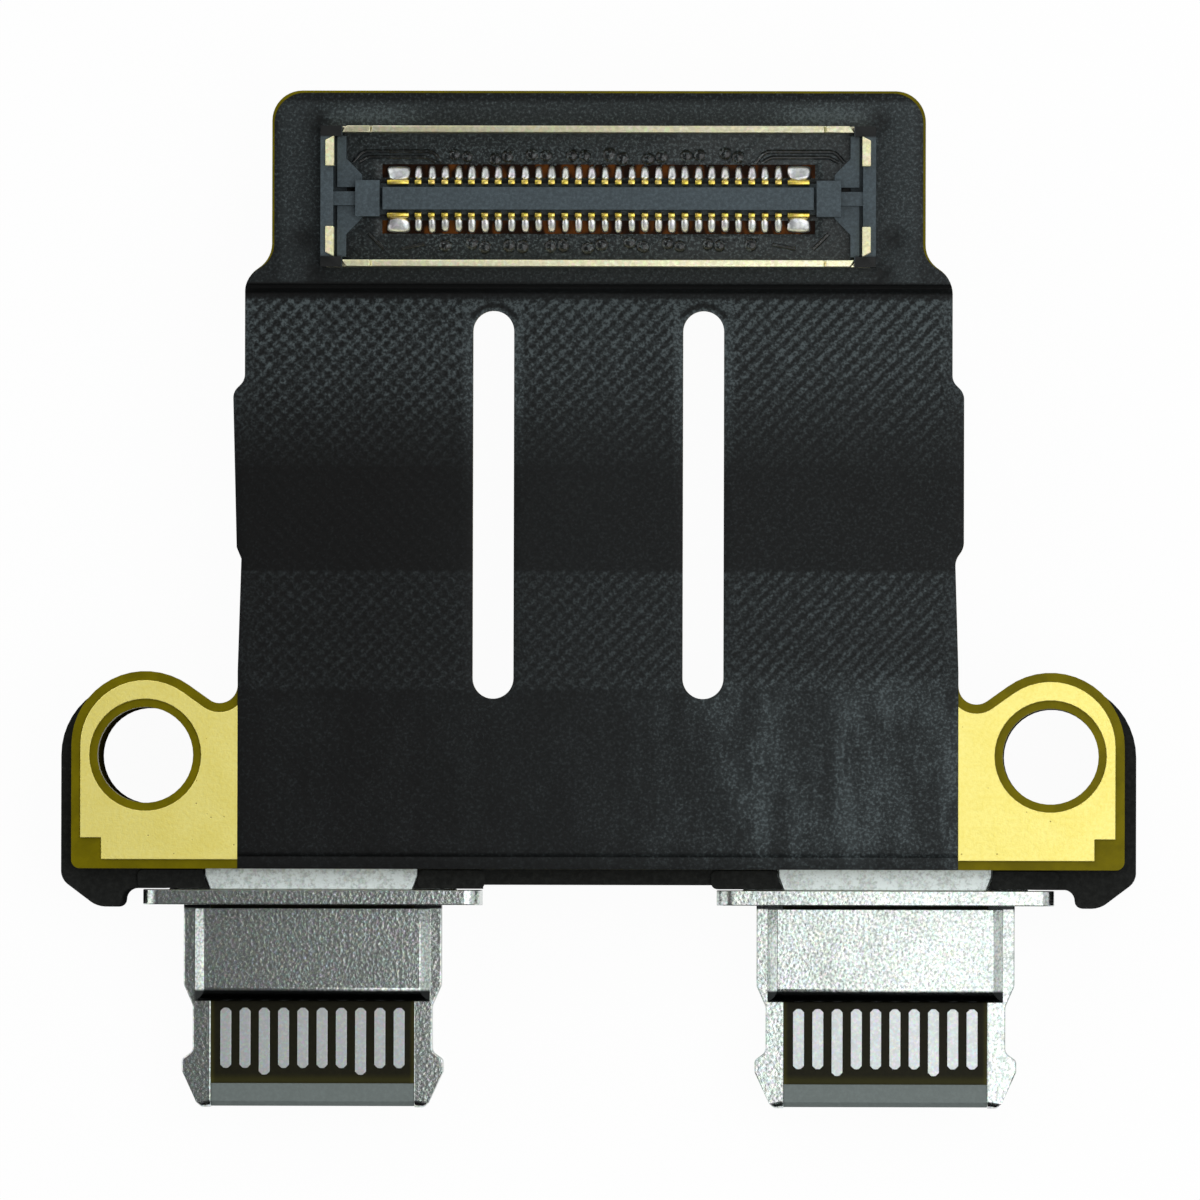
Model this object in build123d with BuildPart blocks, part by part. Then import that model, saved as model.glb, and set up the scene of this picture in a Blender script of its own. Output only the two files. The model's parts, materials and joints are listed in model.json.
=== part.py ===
from build123d import *
import os
from math import cos, radians, sin, tan

# Twin-port input board of a laptop: two port halves on a screwed-down carrier, and a rigid-flex
# circuit whose head holds a fine-pitch board-to-board connector.
# Millimetres. The origin is midway between the two screw holes, in the plane that the part rests
# on. +X is to the right, +Y runs from the ports towards the head, +Z is up.

os.makedirs("parts", exist_ok=True)

# Clearance between pieces that fit together
FIT = 0.03

# Layers of the circuit, from the carrier up
CARRIER_DEPTH = 3.0
PORT_BASE = 0.35
CORE = 0.20
FILM = 0.05
HEAD_LIFT = 0.25
HEAD_BACKING = 0.25
PLATING = 0.05

# Head of the circuit
HEAD_TOP = 17.20
HEAD_SIDE_MARGIN = 1.274
HEAD_CORNER = 0.78
HEAD_STRAIGHT = 3.96
HEAD_LENGTH = 5.044
STEP_RUN = 0.20
HEAD_FILM_MARGIN = 0.06

# Legs of the circuit
FLARE_WIDTH = 0.705
TAB_PROUD = 0.302
TAB_TOP = 9.70
TAB_END = 5.38
TAB_STEP = 0.30
TAB_TAPER_LEFT = 0.10
TAB_TAPER_RIGHT = 0.0
LOWER_LEG_PROUD = 0.08
SLOT_SPACING = 5.434
SLOT_WIDTH = 1.061
SLOT_HEADROOM = 0.446
SLOT_BOTTOM = 1.471

# Port section of the circuit, and its ears
HOLE_SPACING = 23.434
HOLE_TO_SECTION = 2.39
BOARD_EDGE = 2.94
FILM_LIP = 0.33
FILM_LIP_STEP = 0.02
HOLE_RADIUS = 1.24
LOBE_RADIUS = 1.915
LOBE_RISE = 0.254
COVE_SLOPE = 35.5
COVE_RADIUS = 0.47
EAR_CORNER = 0.22
PAD_MARGIN = 0.236
PAD_HOLE_RADIUS = 1.45
PAD_NOTCH_WIDTH = 0.54
PAD_NOTCH_HEIGHT = 0.56

# Carrier under the port section
CARRIER_OVERHANG = 2.202
CARRIER_LOBE_RADIUS = 1.92
CARRIER_BACK = 1.20
CARRIER_FRONT = 3.34
CARRIER_CORNER_TOP = 3.22
CARRIER_CORNER_FOOT = 3.93
CARRIER_CHAMFER = 0.94
CORNER_BLOCK_WIDTH = 0.64
NOTCH_RADIUS = 0.29
CARRIER_WALL = 0.35
LAND_HEIGHT = 0.08
LAND_HALF = 4.50
LAND_ROUND_SHARE = 0.33

# Port halves
PORT_TO_HOLE = 4.285
PORT_AXIS_HEIGHT = 1.55
FLANGE_BACK = 3.475
FLANGE_THICK = 0.396
FLANGE_WIDTH = 8.732
FLANGE_HEIGHT = 3.10
FLANGE_ROUND = 0.42
SHELL_BOTTOM = 0.15
SADDLE_RISE = 0.30
SHELL_LENGTH = 1.8
SHELL_WALL = 0.30
SADDLE_INSET = 1.07
SADDLE_FLARE = 0.15
SADDLE_FLARE_LENGTH = 0.36
SHOULDER_GAP = 0.082
SHOULDER_INSET = 0.294
SHOULDER_THICK = 0.40
SHOULDER_TO_CONTACTS = 0.171
SHOULDER_BEVEL = 0.245
SHOULDER_ROUND = 0.30
TONGUE_THICK = 0.70
TONGUE_WIDTH = 6.694
RAIL_WIDTH = 0.713
WEB_THICK = 0.15
TIP = 9.123
LATCH_START_INSET = 3.177
LATCH_DEPTH = 0.237
LATCH_FROM_INSET = 2.634
LATCH_TO_INSET = 1.455
BUMP_FROM_INSET = 1.248
BUMP_TO_INSET = 0.938
BUMP_PROUD = 0.048
TIP_LENGTH = 0.124
TIP_INSET = 0.332
TIP_CHAMFER = 0.13
RAIL_ROUND = 0.22
BUMP_ROUND = 0.14
FRAME_INSET = 0.60
INSULATOR_INSET = 0.624
INSULATOR_SINK = 0.03
NOSE_LENGTH = 0.591
NOSE_CHAMFER = 0.12
WEB_INSET = 0.139

# Contacts of the port halves
PORT_CONTACT_COUNT = 10
CONTACT_TO_RAIL = 0.384
PORT_CONTACT_WIDTH = 0.282
PORT_CONTACT_INSET = 2.577
PORT_CONTACT_LENGTH = 1.558
LONG_CONTACT_LENGTH = 1.733
LONG_CONTACTS = (2, 7)
CONTACT_PROUD = 0.02
BLADE_END_SHARE = 0.3
STRIP_WIDTH = 0.20
STRIP_THICK = 0.08
STRIP_GAP_TO_WEB = 0.075
UPPER_TAIL_REACH = 0.20
LOWER_TAIL_REACH = 0.62
TAIL_FOOT = 0.24
TAIL_POCKET_AIR = 0.25

# Board-to-board connector on the head, about its own middle
LINK_TO_TOP = 2.75
ROW_SHIFT = -0.055
LINK_LENGTH = 14.36
LINK_WIDTH = 3.646
LINK_HEIGHT = 0.70
SHIELD_THICK = 0.18
SHIELD_BAR_INSET = 0.56
SHIELD_MITRE = 0.11
SHIELD_STRIP = 0.25
SEAM_INSET = 0.75
SEAM_WIDTH = 0.05
SEAM_DEPTH = 0.10
NAIL_THICK = 0.22
NAIL_INSET = 0.13
NAIL_LENGTH = 0.78
NAIL_GAP = 0.083
END_WALL_THICK = 0.33
END_WALL_HEIGHT = 0.60
CORNER_POST_HEIGHT = 0.56
BRACE_INNER_INSET = 0.66
BRACE_OUTER_INSET = 0.427
BRACE_HEIGHT = 0.42
GUSSET_ROOT = 0.98
GUSSET_TIP_INSET = 1.07
GUSSET_TIP_RISE = 0.56
GUSSET_FOOT = 0.24
ARM_HALF = 0.18
ARM_HEIGHT = 0.50
END_BLOCK_INNER_INSET = 1.53
END_BLOCK_OUTER_INSET = 0.90
END_BLOCK_HALF = 0.466
END_BLOCK_HEIGHT = 0.64
BAR_INSET = 1.604
BAR_HALF_WIDTH = 0.29
BAR_HEIGHT = 0.60
BAR_BASE_HALF = 0.40
BAR_BASE_HEIGHT = 0.15
SIGNAL_COUNT = 28
SIGNAL_WIDTH = 0.18
POWER_INSET = 2.005
POWER_TO_SIGNALS = 0.5229
POWER_WIDTH = 0.57
PILLAR_THICK = 0.11
PILLAR_HEIGHT = 0.50
SIGNAL_FOOT = 0.06
FOOT_LENGTH = 0.04
SOLDER_LENGTH = 0.32
SOLDER_WIDTH = 0.21
SOLDER_HEIGHT = 0.15
SOLDER_SWELL = 0.20
SOLDER_NECK = 0.12
SOLDER_SLOPE = 20
POWER_SOLDER_WIDTH = 0.60
POWER_SOLDER_NECK = 0.45
WINDOW_INSET = 1.58
WINDOW_MARGIN = 0.03

# Levels and places that follow from the sizes above
CORE_BOTTOM = CARRIER_DEPTH + PORT_BASE
CORE_TOP = CORE_BOTTOM + CORE
HEAD_DECK = CORE_TOP + HEAD_LIFT
LINK_SEAT = HEAD_DECK + FILM
LINK_HALF = LINK_LENGTH / 2
LINK_MIDDLE = HEAD_TOP - LINK_TO_TOP
HEAD_HALF = LINK_HALF + HEAD_SIDE_MARGIN
HEAD_STRAIGHT_END = HEAD_TOP - HEAD_STRAIGHT
HEAD_STEP = HEAD_TOP - HEAD_LENGTH
FLARE_END = HEAD_STEP - STEP_RUN
LEG_HALF = HEAD_HALF + FLARE_WIDTH
TAB_HALF = LEG_HALF + TAB_PROUD
LOWER_LEG_HALF = LEG_HALF + LOWER_LEG_PROUD
SLOT_TOP = FLARE_END - SLOT_HEADROOM
HOLE_X = HOLE_SPACING / 2
PORT_SECTION_HALF = HOLE_X - HOLE_TO_SECTION
CARRIER_HALF = HOLE_X + CARRIER_OVERHANG
LOBE_X = HOLE_X
EAR_HALF = LOBE_X + LOBE_RADIUS
EAR_TOP = LOBE_RISE + LOBE_RADIUS
CARRIER_LOBE_X = CARRIER_HALF - CARRIER_LOBE_RADIUS
CARRIER_FRONT_AT_PORTS = FLANGE_BACK - FIT
BLOCK_INNER = CARRIER_HALF - CARRIER_CHAMFER - CORNER_BLOCK_WIDTH
PORT_X = HOLE_X - PORT_TO_HOLE
FLANGE_INNER_END = PORT_X - FLANGE_WIDTH / 2
FLANGE_FRONT = FLANGE_BACK + FLANGE_THICK
SHELL_REAR = SHELL_LENGTH - FLANGE_BACK
SHELL_WIDTH = TONGUE_WIDTH + 2 * (FIT + SHELL_WALL)
SHELL_ROOF = CARRIER_DEPTH - SADDLE_RISE
SADDLE_WIDTH = SHELL_WIDTH - 2 * SADDLE_INSET
SHOULDER_WIDTH = TONGUE_WIDTH - 2 * SHOULDER_INSET
RAIL_INNER = TONGUE_WIDTH / 2 - RAIL_WIDTH
CONTACT_ROW_HALF = RAIL_INNER - CONTACT_TO_RAIL
PORT_CONTACT_PITCH = 2 * CONTACT_ROW_HALF / (PORT_CONTACT_COUNT - 1)
TAIL_POCKET_HALF = CONTACT_ROW_HALF + STRIP_WIDTH / 2 + TAIL_POCKET_AIR
ROW_MIDDLE = LINK_MIDDLE + ROW_SHIFT
SHIELD_BAR_HALF = LINK_HALF - SHIELD_BAR_INSET
NAIL_OUTER = LINK_HALF - NAIL_INSET
END_WALL_INNER = LINK_HALF - END_WALL_THICK
END_WALL_HALF = LINK_WIDTH / 2 - SHIELD_THICK - NAIL_GAP
BRACE_INNER = LINK_HALF - BRACE_INNER_INSET
BRACE_OUTER = LINK_HALF - BRACE_OUTER_INSET
GUSSET_TIP = LINK_HALF - GUSSET_TIP_INSET
END_BLOCK_INNER = LINK_HALF - END_BLOCK_INNER_INSET
END_BLOCK_OUTER = LINK_HALF - END_BLOCK_OUTER_INSET
BAR_HALF_LENGTH = LINK_HALF - BAR_INSET
WINDOW_HALF = LINK_HALF - WINDOW_INSET
POWER_OFFSET = LINK_HALF - POWER_INSET
SIGNAL_PITCH = 2 * (POWER_OFFSET - POWER_TO_SIGNALS) / (SIGNAL_COUNT - 1)
PILLAR_OUTER = BAR_BASE_HALF + PILLAR_THICK
FOOT_END = PILLAR_OUTER + FOOT_LENGTH
WINDOW_WIDTH = SOLDER_LENGTH + WINDOW_MARGIN
PORT_CONTACT_START = TIP - PORT_CONTACT_INSET
INSULATOR_END = TIP - INSULATOR_INSET
WEB_END = INSULATOR_END - WEB_INSET
SHOULDER_BACK = FLANGE_FRONT + SHOULDER_GAP
SHOULDER_LENGTH = PORT_CONTACT_START - SHOULDER_TO_CONTACTS - SHOULDER_BACK
TONGUE_TOP = PORT_AXIS_HEIGHT + TONGUE_THICK / 2
TONGUE_BOTTOM = PORT_AXIS_HEIGHT - TONGUE_THICK / 2
INSULATOR_TOP = TONGUE_TOP - INSULATOR_SINK
PORT_XS = {"left": -PORT_X, "right": PORT_X}
EVERYTHING = 60


def finish(piece, name):
    piece.part.label = name
    export_step(piece.part, f"parts/{name}.step")


def block(low, high, mode=Mode.ADD):
    """A straight block between two corners, joined to the current part or cut from it."""
    size = [high[i] - low[i] for i in range(3)]
    middle = [(high[i] + low[i]) / 2 for i in range(3)]
    with Locations(tuple(middle)):
        Box(*size, mode=mode)


def level(x, z):
    """A plane parallel to the circuit, about the middle x of a port."""
    return Plane(origin=(x, 0, z))


def facing(x, y):
    """An upright plane that faces the ports' mouths, with its height along +Z."""
    return Plane(origin=(x, y, 0), x_dir=(1, 0, 0), z_dir=(0, -1, 0))


def cut_leg_slots():
    """The two slots that part the three legs, cut from the current sketch."""
    middle = (SLOT_TOP + SLOT_BOTTOM) / 2
    with Locations((-SLOT_SPACING / 2, middle), (SLOT_SPACING / 2, middle)):
        SlotOverall(SLOT_TOP - SLOT_BOTTOM, SLOT_WIDTH, rotation=90, mode=Mode.SUBTRACT)


def head_face(margin):
    """The head, drawn in by margin, down to the end of its flare into the legs."""
    half = HEAD_HALF - margin
    top = HEAD_TOP - margin
    flare_top = (half, HEAD_STRAIGHT_END)
    flare_middle = ((half + LEG_HALF) / 2, (HEAD_STRAIGHT_END + FLARE_END) / 2)
    with BuildSketch() as head:
        with BuildLine():
            Line((0, top), (half - HEAD_CORNER, top))
            CenterArc((half - HEAD_CORNER, top - HEAD_CORNER), HEAD_CORNER, 0, 90)
            Line((half, top - HEAD_CORNER), flare_top)
            upper_flare = TangentArc(flare_top, flare_middle, tangent=(0, -1))
            TangentArc(flare_middle, (LEG_HALF, FLARE_END), tangent=upper_flare % 1)
            Line((LEG_HALF, FLARE_END), (0, FLARE_END))
            mirror(about=Plane.YZ)
        make_face()
    return head.sketch


def leg_face(foot):
    """The common outline of the three legs, from the flare down to foot."""
    with BuildSketch() as legs:
        for side, taper in ((-1, TAB_TAPER_LEFT), (1, TAB_TAPER_RIGHT)):
            with BuildLine():
                Polyline(
                    (0, FLARE_END),
                    (side * LEG_HALF, FLARE_END),
                    (side * LEG_HALF, TAB_TOP),
                    (side * TAB_HALF, TAB_TOP - TAB_STEP),
                    (side * (TAB_HALF - taper), TAB_END),
                    (side * LOWER_LEG_HALF, TAB_END - TAB_STEP),
                    (side * PORT_SECTION_HALF, EAR_TOP),
                    (side * PORT_SECTION_HALF, foot),
                    (0, foot),
                    close=True,
                )
            make_face()
    return legs.sketch


def ear_face():
    """The right half of the port section with its ear: lobe, cove and rounded corner."""
    slope = radians(COVE_SLOPE)
    lobe_end = (LOBE_X - LOBE_RADIUS * sin(slope), LOBE_RISE + LOBE_RADIUS * cos(slope))
    drop = (lobe_end[0] - PORT_SECTION_HALF) * tan(slope)
    cove_root = (PORT_SECTION_HALF, lobe_end[1] - drop)
    with BuildSketch() as ear:
        with BuildLine():
            Line(cove_root, lobe_end)
            CenterArc((LOBE_X, LOBE_RISE), LOBE_RADIUS, 0, 90 + COVE_SLOPE)
            Line((EAR_HALF, LOBE_RISE), (EAR_HALF, -BOARD_EDGE))
            Line((EAR_HALF, -BOARD_EDGE), (0, -BOARD_EDGE))
            Line((0, -BOARD_EDGE), (0, EAR_TOP))
            Line((0, EAR_TOP), (PORT_SECTION_HALF, EAR_TOP))
            Line((PORT_SECTION_HALF, EAR_TOP), cove_root)
        make_face()
        fillet(ear.vertices().sort_by_distance(cove_root)[0], COVE_RADIUS)
        fillet(ear.vertices().sort_by_distance((EAR_HALF, -BOARD_EDGE))[0], EAR_CORNER)
    return ear.sketch


def saddle_face(air):
    """The raised saddle of a port shell in plan, widened by air for the slot round it."""
    half = SADDLE_WIDTH / 2 + air
    with BuildSketch() as saddle:
        with BuildLine():
            Polyline(
                (-half, -FLANGE_BACK),
                (half, -FLANGE_BACK),
                (half + SADDLE_FLARE, -FLANGE_BACK + SADDLE_FLARE_LENGTH),
                (half + SADDLE_FLARE, SHELL_REAR + air),
                (-half - SADDLE_FLARE, SHELL_REAR + air),
                (-half - SADDLE_FLARE, -FLANGE_BACK + SADDLE_FLARE_LENGTH),
                close=True,
            )
        make_face()
    return saddle.sketch


right_ear = ear_face()
left_ear = mirror(right_ear, about=Plane.YZ)


# Flex core: one sheet from the head to the ears
with BuildPart() as flex_core:
    with BuildSketch(Plane.XY.offset(CORE_BOTTOM)):
        add(head_face(0))
        add(leg_face(-BOARD_EDGE))
        add(right_ear)
        add(left_ear)
        with Locations((-HOLE_X, 0), (HOLE_X, 0)):
            Circle(HOLE_RADIUS, mode=Mode.SUBTRACT)
        cut_leg_slots()
    extrude(amount=CORE)
finish(flex_core, "flex_core")


# Top coverlay: a black film that drapes over the step between the legs and the head
with BuildPart() as top_coverlay:
    with BuildSketch(Plane.YZ):
        with BuildLine():
            Polyline(
                (-BOARD_EDGE, CORE_TOP),
                (FLARE_END, CORE_TOP),
                (HEAD_STEP, HEAD_DECK),
                (HEAD_TOP, HEAD_DECK),
                (HEAD_TOP, LINK_SEAT),
                (HEAD_STEP, LINK_SEAT),
                (FLARE_END, CORE_TOP + FILM),
                (-BOARD_EDGE + FILM_LIP, CORE_TOP + FILM),
                (-BOARD_EDGE + FILM_LIP, CORE_TOP + FILM - FILM_LIP_STEP),
                (-BOARD_EDGE, CORE_TOP + FILM - FILM_LIP_STEP),
                close=True,
            )
        make_face()
    extrude(amount=CARRIER_HALF, both=True)
    with BuildSketch(Plane.XY.offset(CORE_TOP)):
        add(head_face(HEAD_FILM_MARGIN))
        add(leg_face(-BOARD_EDGE))
        cut_leg_slots()
        for side in (-1, 1):
            with Locations((0, ROW_MIDDLE + side * (FOOT_END + WINDOW_WIDTH / 2))):
                Rectangle(2 * WINDOW_HALF, WINDOW_WIDTH, mode=Mode.SUBTRACT)
    extrude(amount=LINK_SEAT - CORE_TOP, mode=Mode.INTERSECT)
finish(top_coverlay, "top_coverlay")


# Bottom coverlay: the black film under the legs, between the port base and the head backing
with BuildPart() as bottom_coverlay:
    with BuildSketch(Plane.XY.offset(CORE_BOTTOM - FILM)):
        add(leg_face(CARRIER_BACK))
        cut_leg_slots()
    extrude(amount=FILM)
finish(bottom_coverlay, "bottom_coverlay")


# Head build-up: the stiff layer that lifts the board-to-board connector, with a sloped lower edge
with BuildPart() as head_buildup:
    with BuildSketch(Plane.YZ):
        with BuildLine():
            Polyline(
                (FLARE_END, CORE_TOP),
                (HEAD_TOP, CORE_TOP),
                (HEAD_TOP, HEAD_DECK),
                (HEAD_STEP, HEAD_DECK),
                close=True,
            )
        make_face()
    extrude(amount=CARRIER_HALF, both=True)
    with BuildSketch(Plane.XY.offset(CORE_TOP)):
        add(head_face(0))
    extrude(amount=HEAD_LIFT, mode=Mode.INTERSECT)
finish(head_buildup, "head_buildup")


# Head backing: the stiffener under the head
with BuildPart() as head_backing:
    with BuildSketch(Plane.XY.offset(CORE_BOTTOM - HEAD_BACKING)):
        add(head_face(0))
    extrude(amount=HEAD_BACKING)
finish(head_backing, "head_backing")


# Port base: the rigid board under the port section and the ears
with BuildPart() as port_base:
    with BuildSketch(Plane.XY.offset(CARRIER_DEPTH)):
        add(right_ear)
        add(left_ear)
        with Locations((0, CARRIER_BACK + EAR_TOP / 2)):
            Rectangle(2 * PORT_SECTION_HALF, EAR_TOP, mode=Mode.SUBTRACT)
        with Locations((-HOLE_X, 0), (HOLE_X, 0)):
            Circle(HOLE_RADIUS, mode=Mode.SUBTRACT)
    extrude(amount=PORT_BASE)
finish(port_base, "port_base")


# Ground pads: the gold-plated lands on the ears, which the screw heads press on
for name, ear, side in (("left_ground_pad", left_ear, -1), ("right_ground_pad", right_ear, 1)):
    with BuildPart() as ground_pad:
        with BuildSketch(Plane.XY.offset(CORE_TOP)):
            add(ear)
            offset(amount=-PAD_MARGIN, mode=Mode.REPLACE)
            Rectangle(2 * PORT_SECTION_HALF, EVERYTHING, mode=Mode.SUBTRACT)
            notch_x = EAR_HALF - PAD_MARGIN - PAD_NOTCH_WIDTH / 2
            notch_y = -BOARD_EDGE + PAD_MARGIN + PAD_NOTCH_HEIGHT / 2
            with Locations((side * notch_x, notch_y)):
                Rectangle(PAD_NOTCH_WIDTH, PAD_NOTCH_HEIGHT, mode=Mode.SUBTRACT)
            with Locations((side * HOLE_X, 0)):
                Circle(PAD_HOLE_RADIUS, mode=Mode.SUBTRACT)
        extrude(amount=PLATING)
    finish(ground_pad, name)


# Carrier: the black moulded bracket under the port section, with its screw ears
with BuildPart() as carrier:
    with BuildSketch(Plane.XY):
        with BuildLine():
            Line((0, CARRIER_BACK), (CARRIER_LOBE_X, CARRIER_BACK))
            Line((CARRIER_LOBE_X, CARRIER_BACK), (CARRIER_LOBE_X, CARRIER_LOBE_RADIUS))
            CenterArc((CARRIER_LOBE_X, 0), CARRIER_LOBE_RADIUS, 0, 90)
            Polyline(
                (CARRIER_HALF, 0),
                (CARRIER_HALF, -CARRIER_CORNER_TOP),
                (CARRIER_HALF - CARRIER_CHAMFER, -CARRIER_CORNER_FOOT),
                (BLOCK_INNER, -CARRIER_CORNER_FOOT),
                (BLOCK_INNER, -CARRIER_FRONT_AT_PORTS - NOTCH_RADIUS),
            )
            notch_x = BLOCK_INNER - NOTCH_RADIUS
            CenterArc((notch_x, -CARRIER_FRONT_AT_PORTS - NOTCH_RADIUS), NOTCH_RADIUS, 0, 90)
            Polyline(
                (notch_x, -CARRIER_FRONT_AT_PORTS),
                (FLANGE_INNER_END, -CARRIER_FRONT_AT_PORTS),
                (FLANGE_INNER_END, -CARRIER_FRONT),
                (0, -CARRIER_FRONT),
            )
            mirror(about=Plane.YZ)
        make_face()
        with Locations((-CARRIER_LOBE_X, 0), (CARRIER_LOBE_X, 0)):
            Circle(CARRIER_LOBE_RADIUS)
        with Locations((-HOLE_X, 0), (HOLE_X, 0)):
            Circle(HOLE_RADIUS, mode=Mode.SUBTRACT)
    extrude(amount=CARRIER_DEPTH)
    for x in PORT_XS.values():
        for side in (-1, 1):
            land_middle = (SADDLE_WIDTH / 2 + SADDLE_FLARE + LAND_HALF) / 2
            land_length = LAND_HALF - SADDLE_WIDTH / 2 - SADDLE_FLARE
            land_width = CARRIER_FRONT_AT_PORTS - BOARD_EDGE - FIT
            with BuildSketch(level(x, CARRIER_DEPTH)):
                with Locations((side * land_middle, -BOARD_EDGE - FIT - land_width / 2)):
                    RectangleRounded(land_length, land_width, land_width * LAND_ROUND_SHARE)
            extrude(amount=LAND_HEIGHT)
        shell_half = SHELL_WIDTH / 2 + FIT
        block(
            (x - shell_half, -FLANGE_BACK, 0),
            (x + shell_half, SHELL_REAR + FIT, SHELL_ROOF + FIT),
            Mode.SUBTRACT,
        )
        block(
            (x - TAIL_POCKET_HALF, SHELL_REAR, 0),
            (x + TAIL_POCKET_HALF, CARRIER_BACK - CARRIER_WALL, CARRIER_DEPTH),
            Mode.SUBTRACT,
        )
        with BuildSketch(level(x, SHELL_ROOF)):
            add(saddle_face(FIT))
        extrude(amount=CARRIER_DEPTH, mode=Mode.SUBTRACT)
finish(carrier, "carrier")


def contact_row(x, upper, name):
    """One row of contacts of a port: blades flush in the tongue, on buried strips that rise to the board."""
    flip = 1 if upper else -1
    strip_inner = PORT_AXIS_HEIGHT + flip * (WEB_THICK / 2 + STRIP_GAP_TO_WEB)
    strip_outer = strip_inner + flip * STRIP_THICK
    low = min(strip_inner, strip_outer)
    surface = PORT_AXIS_HEIGHT + flip * (TONGUE_THICK / 2 - INSULATOR_SINK + CONTACT_PROUD)
    front = -PORT_CONTACT_START - PORT_CONTACT_WIDTH
    tail = SHELL_REAR + (UPPER_TAIL_REACH if upper else LOWER_TAIL_REACH)
    places = [index * PORT_CONTACT_PITCH - CONTACT_ROW_HALF for index in range(PORT_CONTACT_COUNT)]
    with BuildPart() as contacts:
        with BuildSketch(*[Plane.YZ.offset(x + place) for place in places]):
            with BuildLine():
                Polyline(
                    (front, low),
                    (tail + STRIP_THICK, low),
                    (tail + STRIP_THICK, CARRIER_DEPTH - STRIP_THICK),
                    (tail + TAIL_FOOT, CARRIER_DEPTH - STRIP_THICK),
                    (tail + TAIL_FOOT, CARRIER_DEPTH),
                    (tail, CARRIER_DEPTH),
                    (tail, low + STRIP_THICK),
                    (front, low + STRIP_THICK),
                    close=True,
                )
            make_face()
        extrude(amount=STRIP_WIDTH / 2, both=True)
        with BuildSketch(level(x, strip_outer)) as blades:
            for index, place in enumerate(places):
                length = LONG_CONTACT_LENGTH if index in LONG_CONTACTS else PORT_CONTACT_LENGTH
                with Locations((place, -PORT_CONTACT_START - length / 2)):
                    Rectangle(PORT_CONTACT_WIDTH, length)
            chamfer(blades.vertices(), PORT_CONTACT_WIDTH * BLADE_END_SHARE)
        extrude(amount=surface - strip_outer)
    finish(contacts, name)
    return contacts.part


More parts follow.
